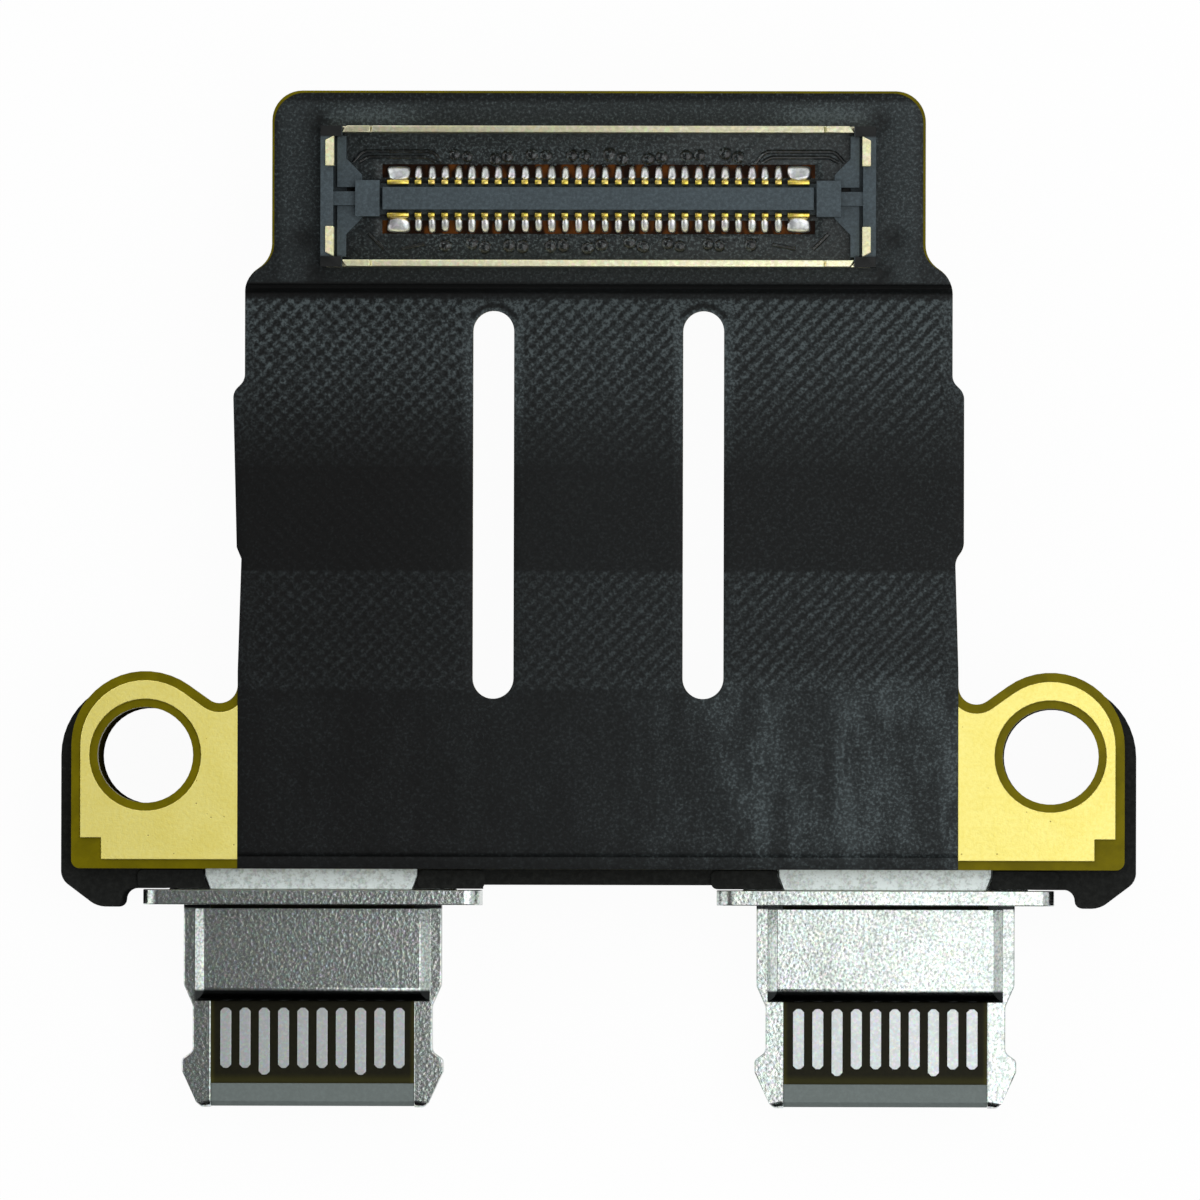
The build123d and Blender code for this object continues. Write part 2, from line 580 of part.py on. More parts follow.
def port(side, x):
    """All pieces of one port half, about the plane at x."""
    # Shell: a metal body with the flange at its mouth and a saddle up to the board
    with BuildPart() as shell:
        with BuildSketch(facing(x, -FLANGE_BACK)):
            with Locations((0, FLANGE_HEIGHT / 2)):
                RectangleRounded(FLANGE_WIDTH, FLANGE_HEIGHT, FLANGE_ROUND)
        extrude(amount=FLANGE_THICK)
        half = SHELL_WIDTH / 2
        block((x - half, -FLANGE_BACK, SHELL_BOTTOM), (x + half, SHELL_REAR, SHELL_ROOF))
        with BuildSketch(level(x, SHELL_ROOF)):
            add(saddle_face(0))
        extrude(amount=SADDLE_RISE)
        inner = half - SHELL_WALL
        block(
            (x - inner, -FLANGE_BACK, SHELL_BOTTOM + SHELL_WALL),
            (x + inner, SHELL_REAR, SHELL_ROOF - SHELL_WALL),
            Mode.SUBTRACT,
        )
        block(
            (x - TONGUE_WIDTH / 2 - FIT, -FLANGE_FRONT, TONGUE_BOTTOM - FIT),
            (x + TONGUE_WIDTH / 2 + FIT, -FLANGE_BACK, TONGUE_TOP + FIT),
            Mode.SUBTRACT,
        )
    finish(shell, f"{side}_port_shell")

    # Tongue frame: two side rails with their latch recesses, joined by a thin web
    frame_rear = SHELL_REAR - FRAME_INSET
    edge = TONGUE_WIDTH / 2
    with BuildPart() as frame:
        for hand in (-1, 1):
            with BuildSketch(level(x, TONGUE_BOTTOM)):
                with BuildLine():
                    FilletPolyline(
                        (hand * RAIL_INNER, frame_rear),
                        (hand * edge, frame_rear),
                        (hand * edge, LATCH_START_INSET - TIP),
                        (hand * (edge - LATCH_DEPTH), LATCH_FROM_INSET - TIP),
                        (hand * (edge - LATCH_DEPTH), LATCH_TO_INSET - TIP),
                        (hand * (edge + BUMP_PROUD), BUMP_FROM_INSET - TIP),
                        (hand * (edge + BUMP_PROUD), BUMP_TO_INSET - TIP),
                        (hand * (edge - TIP_INSET), TIP_LENGTH - TIP),
                        (hand * (edge - TIP_INSET - TIP_CHAMFER), -TIP),
                        (hand * RAIL_INNER, -TIP),
                        radius=(0, 0, RAIL_ROUND, RAIL_ROUND, RAIL_ROUND, BUMP_ROUND, BUMP_ROUND, 0, 0, 0),
                        close=True,
                    )
                make_face()
            extrude(amount=TONGUE_THICK)
        block(
            (x - RAIL_INNER, -WEB_END, PORT_AXIS_HEIGHT - WEB_THICK / 2),
            (x + RAIL_INNER, frame_rear, PORT_AXIS_HEIGHT + WEB_THICK / 2),
        )
    finish(frame, f"{side}_tongue_frame")

    upper_row = contact_row(x, True, f"{side}_upper_contacts")
    lower_row = contact_row(x, False, f"{side}_lower_contacts")

    # Insulator: moulded round the web and both rows, with a block that fills the shell
    with BuildPart() as insulator:
        inner = SHELL_WIDTH / 2 - SHELL_WALL - FIT
        block(
            (x - inner, -FLANGE_BACK + FIT, SHELL_BOTTOM + SHELL_WALL + FIT),
            (x + inner, SHELL_REAR, SHELL_ROOF - SHELL_WALL - FIT),
        )
        block(
            (x - RAIL_INNER, -INSULATOR_END, TONGUE_BOTTOM + INSULATOR_SINK),
            (x + RAIL_INNER, -FLANGE_BACK + FIT, INSULATOR_TOP),
        )
        add(frame.part, mode=Mode.SUBTRACT)
        add(upper_row, mode=Mode.SUBTRACT)
        add(lower_row, mode=Mode.SUBTRACT)
    finish(insulator, f"{side}_insulator")

    # Nose: the grey second-shot moulding at the tip of the tongue
    with BuildPart() as nose:
        block(
            (x - RAIL_INNER, -INSULATOR_END - NOSE_LENGTH, TONGUE_BOTTOM + INSULATOR_SINK),
            (x + RAIL_INNER, -INSULATOR_END, INSULATOR_TOP),
        )
        chamfer(nose.faces().sort_by(Axis.Y)[0].edges().filter_by(Axis.X), NOSE_CHAMFER)
    finish(nose, f"{side}_nose")

    # Shoulder plates: bevelled metal plates above and below the root of the tongue
    for place, seat, outer, face in (
        ("upper", TONGUE_TOP, TONGUE_TOP + SHOULDER_THICK, -1),
        ("lower", TONGUE_BOTTOM, TONGUE_BOTTOM - SHOULDER_THICK, 0),
    ):
        with BuildPart() as shoulder:
            block(
                (x - SHOULDER_WIDTH / 2, -SHOULDER_BACK - SHOULDER_LENGTH, min(seat, outer)),
                (x + SHOULDER_WIDTH / 2, -SHOULDER_BACK, max(seat, outer)),
            )
            chamfer(shoulder.faces().sort_by(Axis.Z)[face].edges().filter_by(Axis.Y), SHOULDER_BEVEL)
            fillet(
                shoulder.faces().sort_by(Axis.Z)[face].edges().filter_by(Axis.X).sort_by(Axis.Y)[0],
                SHOULDER_ROUND,
            )
        finish(shoulder, f"{side}_{place}_shoulder")


for side, x in PORT_XS.items():
    port(side, x)


def at_link(x, y, z):
    """A place of the board-to-board connector, given from the middle of its seat."""
    return (x, LINK_MIDDLE + y, LINK_SEAT + z)


def shield(side):
    """One metal shield: a long bar whose ends fold round the corners, low, to two upright returns."""
    outer = LINK_WIDTH / 2
    inner = outer - SHIELD_THICK
    nail_top = END_WALL_HALF
    with BuildPart() as piece:
        with BuildSketch(Plane(origin=at_link(0, 0, 0))):
            with BuildLine():
                Polyline(
                    (-SHIELD_BAR_HALF, side * inner),
                    (SHIELD_BAR_HALF, side * inner),
                    (SHIELD_BAR_HALF - SHIELD_MITRE, side * outer),
                    (-SHIELD_BAR_HALF + SHIELD_MITRE, side * outer),
                    close=True,
                )
            make_face()
            for end in (-1, 1):
                with BuildLine():
                    Polyline(
                        (end * (NAIL_OUTER - NAIL_THICK), side * nail_top),
                        (end * NAIL_OUTER, side * (nail_top - SHIELD_MITRE)),
                        (end * NAIL_OUTER, side * (nail_top - NAIL_LENGTH)),
                        (end * (NAIL_OUTER - NAIL_THICK), side * (nail_top - NAIL_LENGTH)),
                        close=True,
                    )
                make_face()
        extrude(amount=LINK_HEIGHT)
        for end in (-1, 1):
            with BuildSketch(Plane(origin=at_link(0, 0, 0))):
                with BuildLine():
                    Polyline(
                        (end * (SHIELD_BAR_HALF - SHIELD_MITRE), side * inner),
                        (end * (NAIL_OUTER - NAIL_THICK), side * inner),
                        (end * (NAIL_OUTER - NAIL_THICK), side * (nail_top - SHIELD_MITRE)),
                        (end * NAIL_OUTER, side * (nail_top - SHIELD_MITRE)),
                        (end * NAIL_OUTER, side * outer),
                        (end * (SHIELD_BAR_HALF - SHIELD_MITRE), side * outer),
                        close=True,
                    )
                make_face()
            extrude(amount=SHIELD_STRIP)
            seam = end * (SHIELD_BAR_HALF - SEAM_INSET)
            low_y = min(side * inner, side * outer)
            high_y = max(side * inner, side * outer)
            block(
                at_link(seam - SEAM_WIDTH / 2, low_y, LINK_HEIGHT - SEAM_DEPTH),
                at_link(seam + SEAM_WIDTH / 2, high_y, LINK_HEIGHT),
                Mode.SUBTRACT,
            )
    return piece


# Shields of the board-to-board connector
upper_shield = shield(1)
lower_shield = shield(-1)
finish(upper_shield, "upper_shield")
finish(lower_shield, "lower_shield")


# Housing of the board-to-board connector
with BuildPart() as link_housing:
    row = ROW_SHIFT
    block(
        at_link(-BAR_HALF_LENGTH, row - BAR_HALF_WIDTH, 0),
        at_link(BAR_HALF_LENGTH, row + BAR_HALF_WIDTH, BAR_HEIGHT),
    )
    block(
        at_link(-END_BLOCK_OUTER, row - BAR_BASE_HALF, 0),
        at_link(END_BLOCK_OUTER, row + BAR_BASE_HALF, BAR_BASE_HEIGHT),
    )
    for end in (-1, 1):
        for half_width, height, near, far in (
            (END_BLOCK_HALF, END_BLOCK_HEIGHT, END_BLOCK_INNER, END_BLOCK_OUTER),
            (ARM_HALF, ARM_HEIGHT, END_BLOCK_OUTER, END_WALL_INNER),
        ):
            low_x = min(end * near, end * far)
            high_x = max(end * near, end * far)
            block(at_link(low_x, row - half_width, 0), at_link(high_x, row + half_width, height))
        wall_low = min(end * END_WALL_INNER, end * LINK_HALF)
        wall_high = max(end * END_WALL_INNER, end * LINK_HALF)
        block(at_link(wall_low, -END_WALL_HALF, 0), at_link(wall_high, END_WALL_HALF, END_WALL_HEIGHT))
        base_low = min(end * BRACE_INNER, end * LINK_HALF)
        base_high = max(end * BRACE_INNER, end * LINK_HALF)
        block(at_link(base_low, -END_WALL_HALF, 0), at_link(base_high, END_WALL_HALF, BAR_BASE_HEIGHT))
        for side in (-1, 1):
            with BuildSketch(Plane(origin=at_link(0, 0, 0))):
                with BuildLine():
                    Polyline(
                        (end * BRACE_OUTER, side * END_WALL_HALF),
                        (end * BRACE_INNER, side * END_WALL_HALF),
                        (end * BRACE_INNER, side * GUSSET_ROOT),
                        (end * GUSSET_TIP, side * GUSSET_TIP_RISE),
                        (end * GUSSET_TIP, side * GUSSET_FOOT),
                        (end * BRACE_OUTER, side * GUSSET_FOOT),
                        close=True,
                    )
                make_face()
            extrude(amount=BRACE_HEIGHT)
            post_low_x = min(end * SHIELD_BAR_HALF, end * LINK_HALF)
            post_high_x = max(end * SHIELD_BAR_HALF, end * LINK_HALF)
            post_low_y = min(side * END_WALL_HALF, side * LINK_WIDTH / 2)
            post_high_y = max(side * END_WALL_HALF, side * LINK_WIDTH / 2)
            block(at_link(post_low_x, post_low_y, 0), at_link(post_high_x, post_high_y, CORNER_POST_HEIGHT))
    add(upper_shield.part, mode=Mode.SUBTRACT)
    add(lower_shield.part, mode=Mode.SUBTRACT)
finish(link_housing, "link_housing")


def link_contacts(count, pitch, width, side, name):
    """One row of upright contacts, each with a short foot towards its solder joint."""
    with BuildPart() as contacts:
        for thick, near, height in (
            (PILLAR_THICK, BAR_BASE_HALF, PILLAR_HEIGHT),
            (FOOT_LENGTH, PILLAR_OUTER, SIGNAL_FOOT),
        ):
            with BuildSketch(Plane(origin=at_link(0, ROW_SHIFT + side * (near + thick / 2), 0))):
                with GridLocations(pitch, 1, count, 1):
                    Rectangle(width, thick)
            extrude(amount=height)
    finish(contacts, name)


# Contacts and solder joints of the board-to-board connector
for row_name, side in (("upper", 1), ("lower", -1)):
    link_contacts(SIGNAL_COUNT, SIGNAL_PITCH, SIGNAL_WIDTH, side, f"{row_name}_signal_contacts")
    link_contacts(2, 2 * POWER_OFFSET, POWER_WIDTH, side, f"{row_name}_power_contacts")
    joints = [(end * POWER_OFFSET, POWER_SOLDER_WIDTH, POWER_SOLDER_NECK) for end in (-1, 1)]
    for index in range(SIGNAL_COUNT):
        joints.append(((index - (SIGNAL_COUNT - 1) / 2) * SIGNAL_PITCH, SOLDER_WIDTH, SOLDER_NECK))
    near = ROW_MIDDLE + side * FOOT_END
    swell = near + side * SOLDER_SWELL
    far = near + side * SOLDER_LENGTH
    with BuildPart() as solder:
        with BuildSketch(Plane.XY.offset(HEAD_DECK)):
            for x, width, neck in joints:
                with BuildLine():
                    Polyline(
                        (x - side * neck / 2, near),
                        (x + side * neck / 2, near),
                        (x + side * width / 2, swell),
                        (x + side * neck / 2, far),
                        (x - side * neck / 2, far),
                        (x - side * width / 2, swell),
                        close=True,
                    )
                make_face()
        extrude(amount=SOLDER_HEIGHT, taper=SOLDER_SLOPE)
    finish(solder, f"{row_name}_solder")
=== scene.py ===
"""Dresses a laptop's twin-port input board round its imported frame: finishes, relief, contacts and stage."""

import json
import math
from types import SimpleNamespace

import bmesh
import bpy
from bpy.props import FloatProperty, FloatVectorProperty, IntProperty, PointerProperty
from mathutils import Matrix, Vector, kdtree, noise


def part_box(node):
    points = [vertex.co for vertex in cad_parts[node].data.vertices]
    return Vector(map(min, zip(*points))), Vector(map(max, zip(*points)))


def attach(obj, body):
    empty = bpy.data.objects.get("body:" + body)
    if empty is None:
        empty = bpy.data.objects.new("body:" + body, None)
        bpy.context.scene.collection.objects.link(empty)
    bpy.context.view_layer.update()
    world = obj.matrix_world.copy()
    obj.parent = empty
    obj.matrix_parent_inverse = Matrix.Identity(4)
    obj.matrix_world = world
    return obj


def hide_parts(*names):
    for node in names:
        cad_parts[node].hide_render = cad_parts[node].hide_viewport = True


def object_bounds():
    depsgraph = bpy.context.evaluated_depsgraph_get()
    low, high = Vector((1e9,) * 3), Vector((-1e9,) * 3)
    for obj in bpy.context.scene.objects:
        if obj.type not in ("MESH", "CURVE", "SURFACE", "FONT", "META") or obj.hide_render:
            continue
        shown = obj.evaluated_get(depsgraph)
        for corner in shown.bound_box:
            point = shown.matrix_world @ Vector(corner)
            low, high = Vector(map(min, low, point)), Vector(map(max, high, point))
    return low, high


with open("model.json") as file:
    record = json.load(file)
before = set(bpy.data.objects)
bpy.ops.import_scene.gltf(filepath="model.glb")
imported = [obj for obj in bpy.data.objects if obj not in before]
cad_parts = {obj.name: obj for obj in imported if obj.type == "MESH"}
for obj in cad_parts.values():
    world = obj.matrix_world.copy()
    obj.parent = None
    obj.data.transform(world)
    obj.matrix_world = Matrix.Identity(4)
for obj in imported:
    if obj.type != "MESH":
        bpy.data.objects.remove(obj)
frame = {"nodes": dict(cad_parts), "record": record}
cad_low, cad_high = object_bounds()

bl_info = {
    "name": "Input board",
    "version": (1, 0, 0),
    "blender": (4, 5, 0),
    "location": "View3D > Sidebar > Input board",
    "description": "Finishes, film relief, contacts and stage for a laptop's twin-port input board",
    "category": "Object",
}

MM = 0.001

# The CAD nodes: the material slot of each, and how their names and numbers repeat
SLOT_OF = {part["node"]: part["material_slot"] for part in frame["record"]["subparts"]}
SIDES = ("left", "right")
ROWS = (("upper", 1), ("lower", -1))
SIGNALS = 28

# Edges stay hard above the sharp angle and are rounded above the bevel angle; closer corners than WELD join
SHARP_ANGLE = math.radians(35)
BEVEL_ANGLE = math.radians(28)
WELD = 0.0005


def low(node):
    """A CAD node's lowest corner in millimetres."""
    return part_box(node)[0] / MM


def high(node):
    """A CAD node's highest corner in millimetres."""
    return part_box(node)[1] / MM


def middle(node, axis):
    """The middle of a CAD node along an axis, in millimetres."""
    return (low(node)[axis] + high(node)[axis]) / 2


# Levels and places of the board, in millimetres
DECK = high("head_buildup").z
SEAT = high("top_coverlay").z
FILM = SEAT - DECK
CORE_TOP = high("flex_core").z
ROW_MIDDLE = (high("upper_solder").y + low("lower_solder").y) / 2
LINK_MIDDLE = middle("link_housing", 1)
LINK_HALF_LENGTH = high("link_housing").x
FLARE_END = low("head_buildup").y
STEP_RUN = 0.2
HEAD_STEP = FLARE_END + STEP_RUN
HEAD_FOOT = 12.25
PORT_X = middle("right_nose", 0)
SLOT_X = 2.717
SLOT_END = 10.98
HOLE_X = 11.717
HOLE_RADIUS = 1.28
FLANGE_BACK = -3.91
TONGUE_TIP = -8.5

# The hatching of the legs, with a smooth stretch between its lower and its upper band
HATCH_FOOT = 1.72
SMOOTH_FOOT = 4.75
SMOOTH_TOP = 7.5
HATCH_TOP = 11.8

# Dents beside the board-to-board connector: how far out from its end, how far up, and how deep
DENTS = ((0.10, 1.95, 1.0), (0.45, -1.05, 0.9), (0.15, -2.0, 1.0))


def srgb(red, green, blue):
    """The linear colour of a screen colour that is given from 0 to 255."""
    def linear(value):
        value = value / 255
        return value / 12.92 if value <= 0.04045 else ((value + 0.055) / 1.055) ** 2.4
    return (linear(red), linear(green), linear(blue), 1.0)


# Node trees written as expressions


class Field:
    """A number that varies over a surface. Arithmetic on it adds Math nodes to its tree."""

    def __init__(self, tree, socket):
        self.tree = tree
        self.socket = socket

    def __add__(self, other):
        return self.tree.math("ADD", self, other)

    def __radd__(self, other):
        return self.tree.math("ADD", other, self)

    def __sub__(self, other):
        return self.tree.math("SUBTRACT", self, other)

    def __rsub__(self, other):
        return self.tree.math("SUBTRACT", other, self)

    def __mul__(self, other):
        return self.tree.math("MULTIPLY", self, other)

    def __rmul__(self, other):
        return self.tree.math("MULTIPLY", other, self)

    def __neg__(self):
        return self.tree.math("MULTIPLY", self, -1.0)

    def __abs__(self):
        return self.tree.math("ABSOLUTE", self)

    def sine(self):
        return self.tree.math("SINE", self)

    def root(self):
        return self.tree.math("SQRT", self)

    def rise(self, start, end):
        """Goes smoothly from 0 at start to 1 at end, and stays there."""
        inputs = {"Value": self, "From Min": start, "From Max": end}
        made = self.tree.node("ShaderNodeMapRange", {"interpolation_type": "SMOOTHSTEP"}, inputs)
        return Field(self.tree, made.outputs["Result"])

    def within(self, start, end, soft):
        """Is 1 between start and end, and 0 beyond them, with soft edges."""
        return self.rise(start - soft, start + soft) * (1 - self.rise(end - soft, end + soft))


class Tree:
    """A node tree whose nodes are made by one method each for maths and for the rest."""

    def __init__(self, tree):
        self.tree = tree

    def feed(self, socket, value):
        """Sets a socket's own value, or links it to what makes the value."""
        if isinstance(value, Field):
            value = value.socket
        if isinstance(value, bpy.types.NodeSocket):
            self.tree.links.new(value, socket)
        else:
            socket.default_value = value

    def node(self, kind, settings=(), inputs=()):
        """A node of that type, with its settings set first and then its sockets."""
        made = self.tree.nodes.new(kind)
        for name, value in dict(settings).items():
            setattr(made, name, value)
        for name, value in dict(inputs).items():
            self.feed(made.inputs[name], value)
        return made

    def math(self, operation, *values):
        made = self.node("ShaderNodeMath", {"operation": operation}, dict(enumerate(values)))
        return Field(self, made.outputs[0])

    def vector(self, operation, first, second=None, **inputs):
        """The result of a Vector Math node."""
        values = {0: first, **inputs}
        if second is not None:
            values[1] = second
        return self.node("ShaderNodeVectorMath", {"operation": operation}, values).outputs[0]


class Surface(Tree):
    """The node tree of one finish. Its patterns read a place on the piece, in millimetres."""

    def __init__(self, name, uniform):
        self.material = bpy.data.materials.new(name + "_finish")
        self.material.use_nodes = True
        super().__init__(self.material.node_tree)
        self.shader = self.tree.nodes["Principled BSDF"]
        for socket, value in uniform.items():
            self.shader.inputs[socket].default_value = value
        where = self.node("ShaderNodeTexCoord")
        self.place = self.vector("SCALE", where.outputs["Object"], Scale=1 / MM)
        split = self.node("ShaderNodeSeparateXYZ", (), {0: self.place})
        self.x, self.y, self.z = (Field(self, split.outputs[axis]) for axis in range(3))

    def noise(self, per_mm, detail=2.0, roughness=0.5, place=None):
        """Soft noise from 0 to 1, with that many features to the millimetre."""
        inputs = {"Vector": place or self.place, "Scale": per_mm, "Detail": detail, "Roughness": roughness}
        return Field(self, self.node("ShaderNodeTexNoise", (), inputs).outputs["Fac"])

    def grains(self, per_mm, output="Distance"):
        """Cells of random places: the distance to the nearest, or a colour for each."""
        return self.node("ShaderNodeTexVoronoi", (), {"Vector": self.place, "Scale": per_mm}).outputs[output]

    def blend(self, factor, first, second):
        """A colour between two, through a Mix node."""
        inputs = {0: factor, 6: first, 7: second}
        return self.node("ShaderNodeMix", {"data_type": "RGBA"}, inputs).outputs[2]

    def relief(self, height, depth):
        """The normal of a surface that rises by depth millimetres where height is 1."""
        return self.node("ShaderNodeBump", (), {"Distance": depth * MM, "Height": height}).outputs["Normal"]

    def paint(self, **sockets):
        """Feeds the shader, with spaces in a socket's name written as underscores."""
        for name, value in sockets.items():
            self.feed(self.shader.inputs[name.replace("_", " ")], value)
        return self.material


# Sizes and colours that a user would change


def a_colour(name, description, red, green, blue):
    """A setting that holds a screen colour."""
    default = srgb(red, green, blue)
    return FloatVectorProperty(name=name, description=description, subtype="COLOR", size=4, default=default)


def a_length(name, description, default, **limits):
    """A setting that holds a length, given in millimetres and kept in Blender's metres."""
    return FloatProperty(name=name, description=description, default=default * MM, unit="LENGTH", **limits)


def an_angle(name, description, degrees):
    """A setting that holds an angle."""
    return FloatProperty(name=name, description=description, default=math.radians(degrees), subtype="ANGLE")


def a_level(name, description, default):
    """A setting that is a plain factor or strength."""
    return FloatProperty(name=name, description=description, default=default, min=0.0)


class BoardColours(bpy.types.PropertyGroup):
    """Colours of the board's finishes."""

    film: a_colour("Film", "Black coverlay film", 12, 13, 13)
    # The lighter film colour, for dust and rubbing, and also for the painted sheen and glints
    film_light: a_colour("Film, worn", "Film where it is dusty or rubbed", 78, 87, 89)
    polyimide: a_colour("Polyimide", "Bare amber-olive layer", 116, 106, 4)
    amber: a_colour("Window amber", "Bare layer between the solder joints", 92, 50, 10)
    gold: a_colour("Pad gold", "Plating of the ground pads", 254, 243, 150)
    contact_gold: a_colour("Contact gold", "Plating of the fine contacts", 252, 224, 96)
    carrier: a_colour("Carrier", "Black moulding", 33, 34, 33)
    housing: a_colour("Connector housing", "Blue-black moulding", 59, 69, 74)
    shield: a_colour("Shields", "Champagne plating", 252, 248, 208)
    solder: a_colour("Solder", "Solder joints of the fine contacts", 236, 239, 241)
    nickel: a_colour("Nickel", "Blasted nickel of the ports", 211, 220, 215)
    port_contact: a_colour("Port contacts", "Plating of the ports' contacts", 206, 212, 212)
    insulator: a_colour("Insulator", "Olive-black moulding of the tongues", 24, 23, 9)
    nose: a_colour("Nose", "Grey moulding at the tips", 110, 119, 117)


class BoardRelief(bpy.types.PropertyGroup):
    """Sizes of the board's fine relief."""

    film_cell: a_length("Film cell", "Spacing of the film's mesh", 0.15, min=0.05 * MM)
    film_wave: a_length("Film wave", "Height of the film's slow waves", 0.012)
    edge_drop: a_length("Edge drop", "How far the film's edge rolls down", 0.02)
    edge_width: a_length("Edge width", "Width of the rolled edge", 0.14)
    dent_depth: a_length("Dent depth", "Dents at the connector's corners", 0.03)
    hatch_pitch: a_length("Hatch pitch", "Spacing of the embossed hatch", 0.268)
    hatch_slope: an_angle("Hatch slope", "Rise of the embossed hatch", 45)
    hatch_depth: a_length("Hatch depth", "Height of the embossed hatch", 0.006)
    grain_depth: a_length("Grain depth", "Height of the nickel's grain", 0.0065)
    bump_radius: a_length("Via bump", "Radius of a via's bump in the film", 0.18)
    bump_height: a_length("Bump height", "Height of a via's bump", 0.08)
    track_radius: a_length("Track", "Radius of a raised track under the film", 0.055)
    track_corner: a_length("Track corner", "Rounding of a track's corners", 0.3)
    soft_edge: a_length("Soft edge", "Rounding of moulded edges", 0.04)
    metal_edge: a_length("Metal edge", "Rounding of metal edges", 0.025)
    rail_edge: a_length("Rail edge", "Rounding of the tongues' rails", 0.07)
    tip_round: a_length("Tip rounding", "Rounding of the rails' tips", 0.2)
    front_stretch: a_level("Shoulder front", "Stretch of its round edge", 1.2)
    fine_edge: a_length("Fine edge", "Rounding in the fine connector", 0.012)
    shield_edge: a_length("Shield edge", "Rounding of the shields", 0.03)
    layer_edge: a_length("Layer edge", "Rounding of the thin layers", 0.006)
    tab_corner: a_length("Tab corner", "Rounding of the side tabs' corners", 0.14)
    carrier_corner: a_length("Carrier corner", "Rounding of its corners", 0.2)
    seed: IntProperty(name="Seed", description="Seed of the uneven rows", default=7)


class BoardStage(bpy.types.PropertyGroup):
    """The stage round the board."""

    frame_width: a_length("Frame width", "Width that the camera sees", 31.05)
    camera_height: a_length("Camera height", "Distance of the camera", 600.0)
    lean_right: an_angle("Lean right", "Tilt of the view to the right", 1.5)
    lean_front: an_angle("Lean front", "Tilt of the view to the front", 0.8)
    roll: an_angle("Roll", "Turn of the picture", 0.13)
    aim_x: a_length("Aim across", "Middle of the picture", 0.05)
    aim_y: a_length("Aim along", "Middle of the picture", 4.03)
    horizon_level: a_level("Horizon level", "Light from low down", 1.3)
    overhead_level: a_level("Overhead level", "Light from right above", 0.09)
    front_shade: a_level("Front shade", "How much darker the front is", 0.8)
    right_shade: a_level("Right shade", "How much darker the right is", 0.4)
    key_level: a_level("Key level", "Brightness of the lamp on the right", 1.85)
    glint_level: a_level("Glint level", "Brightness of the small lamp", 14.0)


class InputBoard(bpy.types.PropertyGroup):
    """All settings of the input board."""

    colours: PointerProperty(type=BoardColours)
    relief: PointerProperty(type=BoardRelief)
    stage: PointerProperty(type=BoardStage)


def settings(part):
    """One group of the settings as plain values, with its lengths in millimetres."""
    group = getattr(bpy.context.scene.input_board, part)
    values = SimpleNamespace()
    for item in group.bl_rna.properties:
        value = getattr(group, item.identifier)
        if item.unit == "LENGTH":
            value = value / MM
        elif item.subtype == "COLOR":
            value = tuple(value)
        setattr(values, item.identifier, value)
    return values


# Finishes, one function for each material slot


def shaded(colour, factor):
    """A colour made darker or lighter by a factor, and at most white."""
    return [min(1.0, value * factor) for value in colour[:3]] + [1.0]


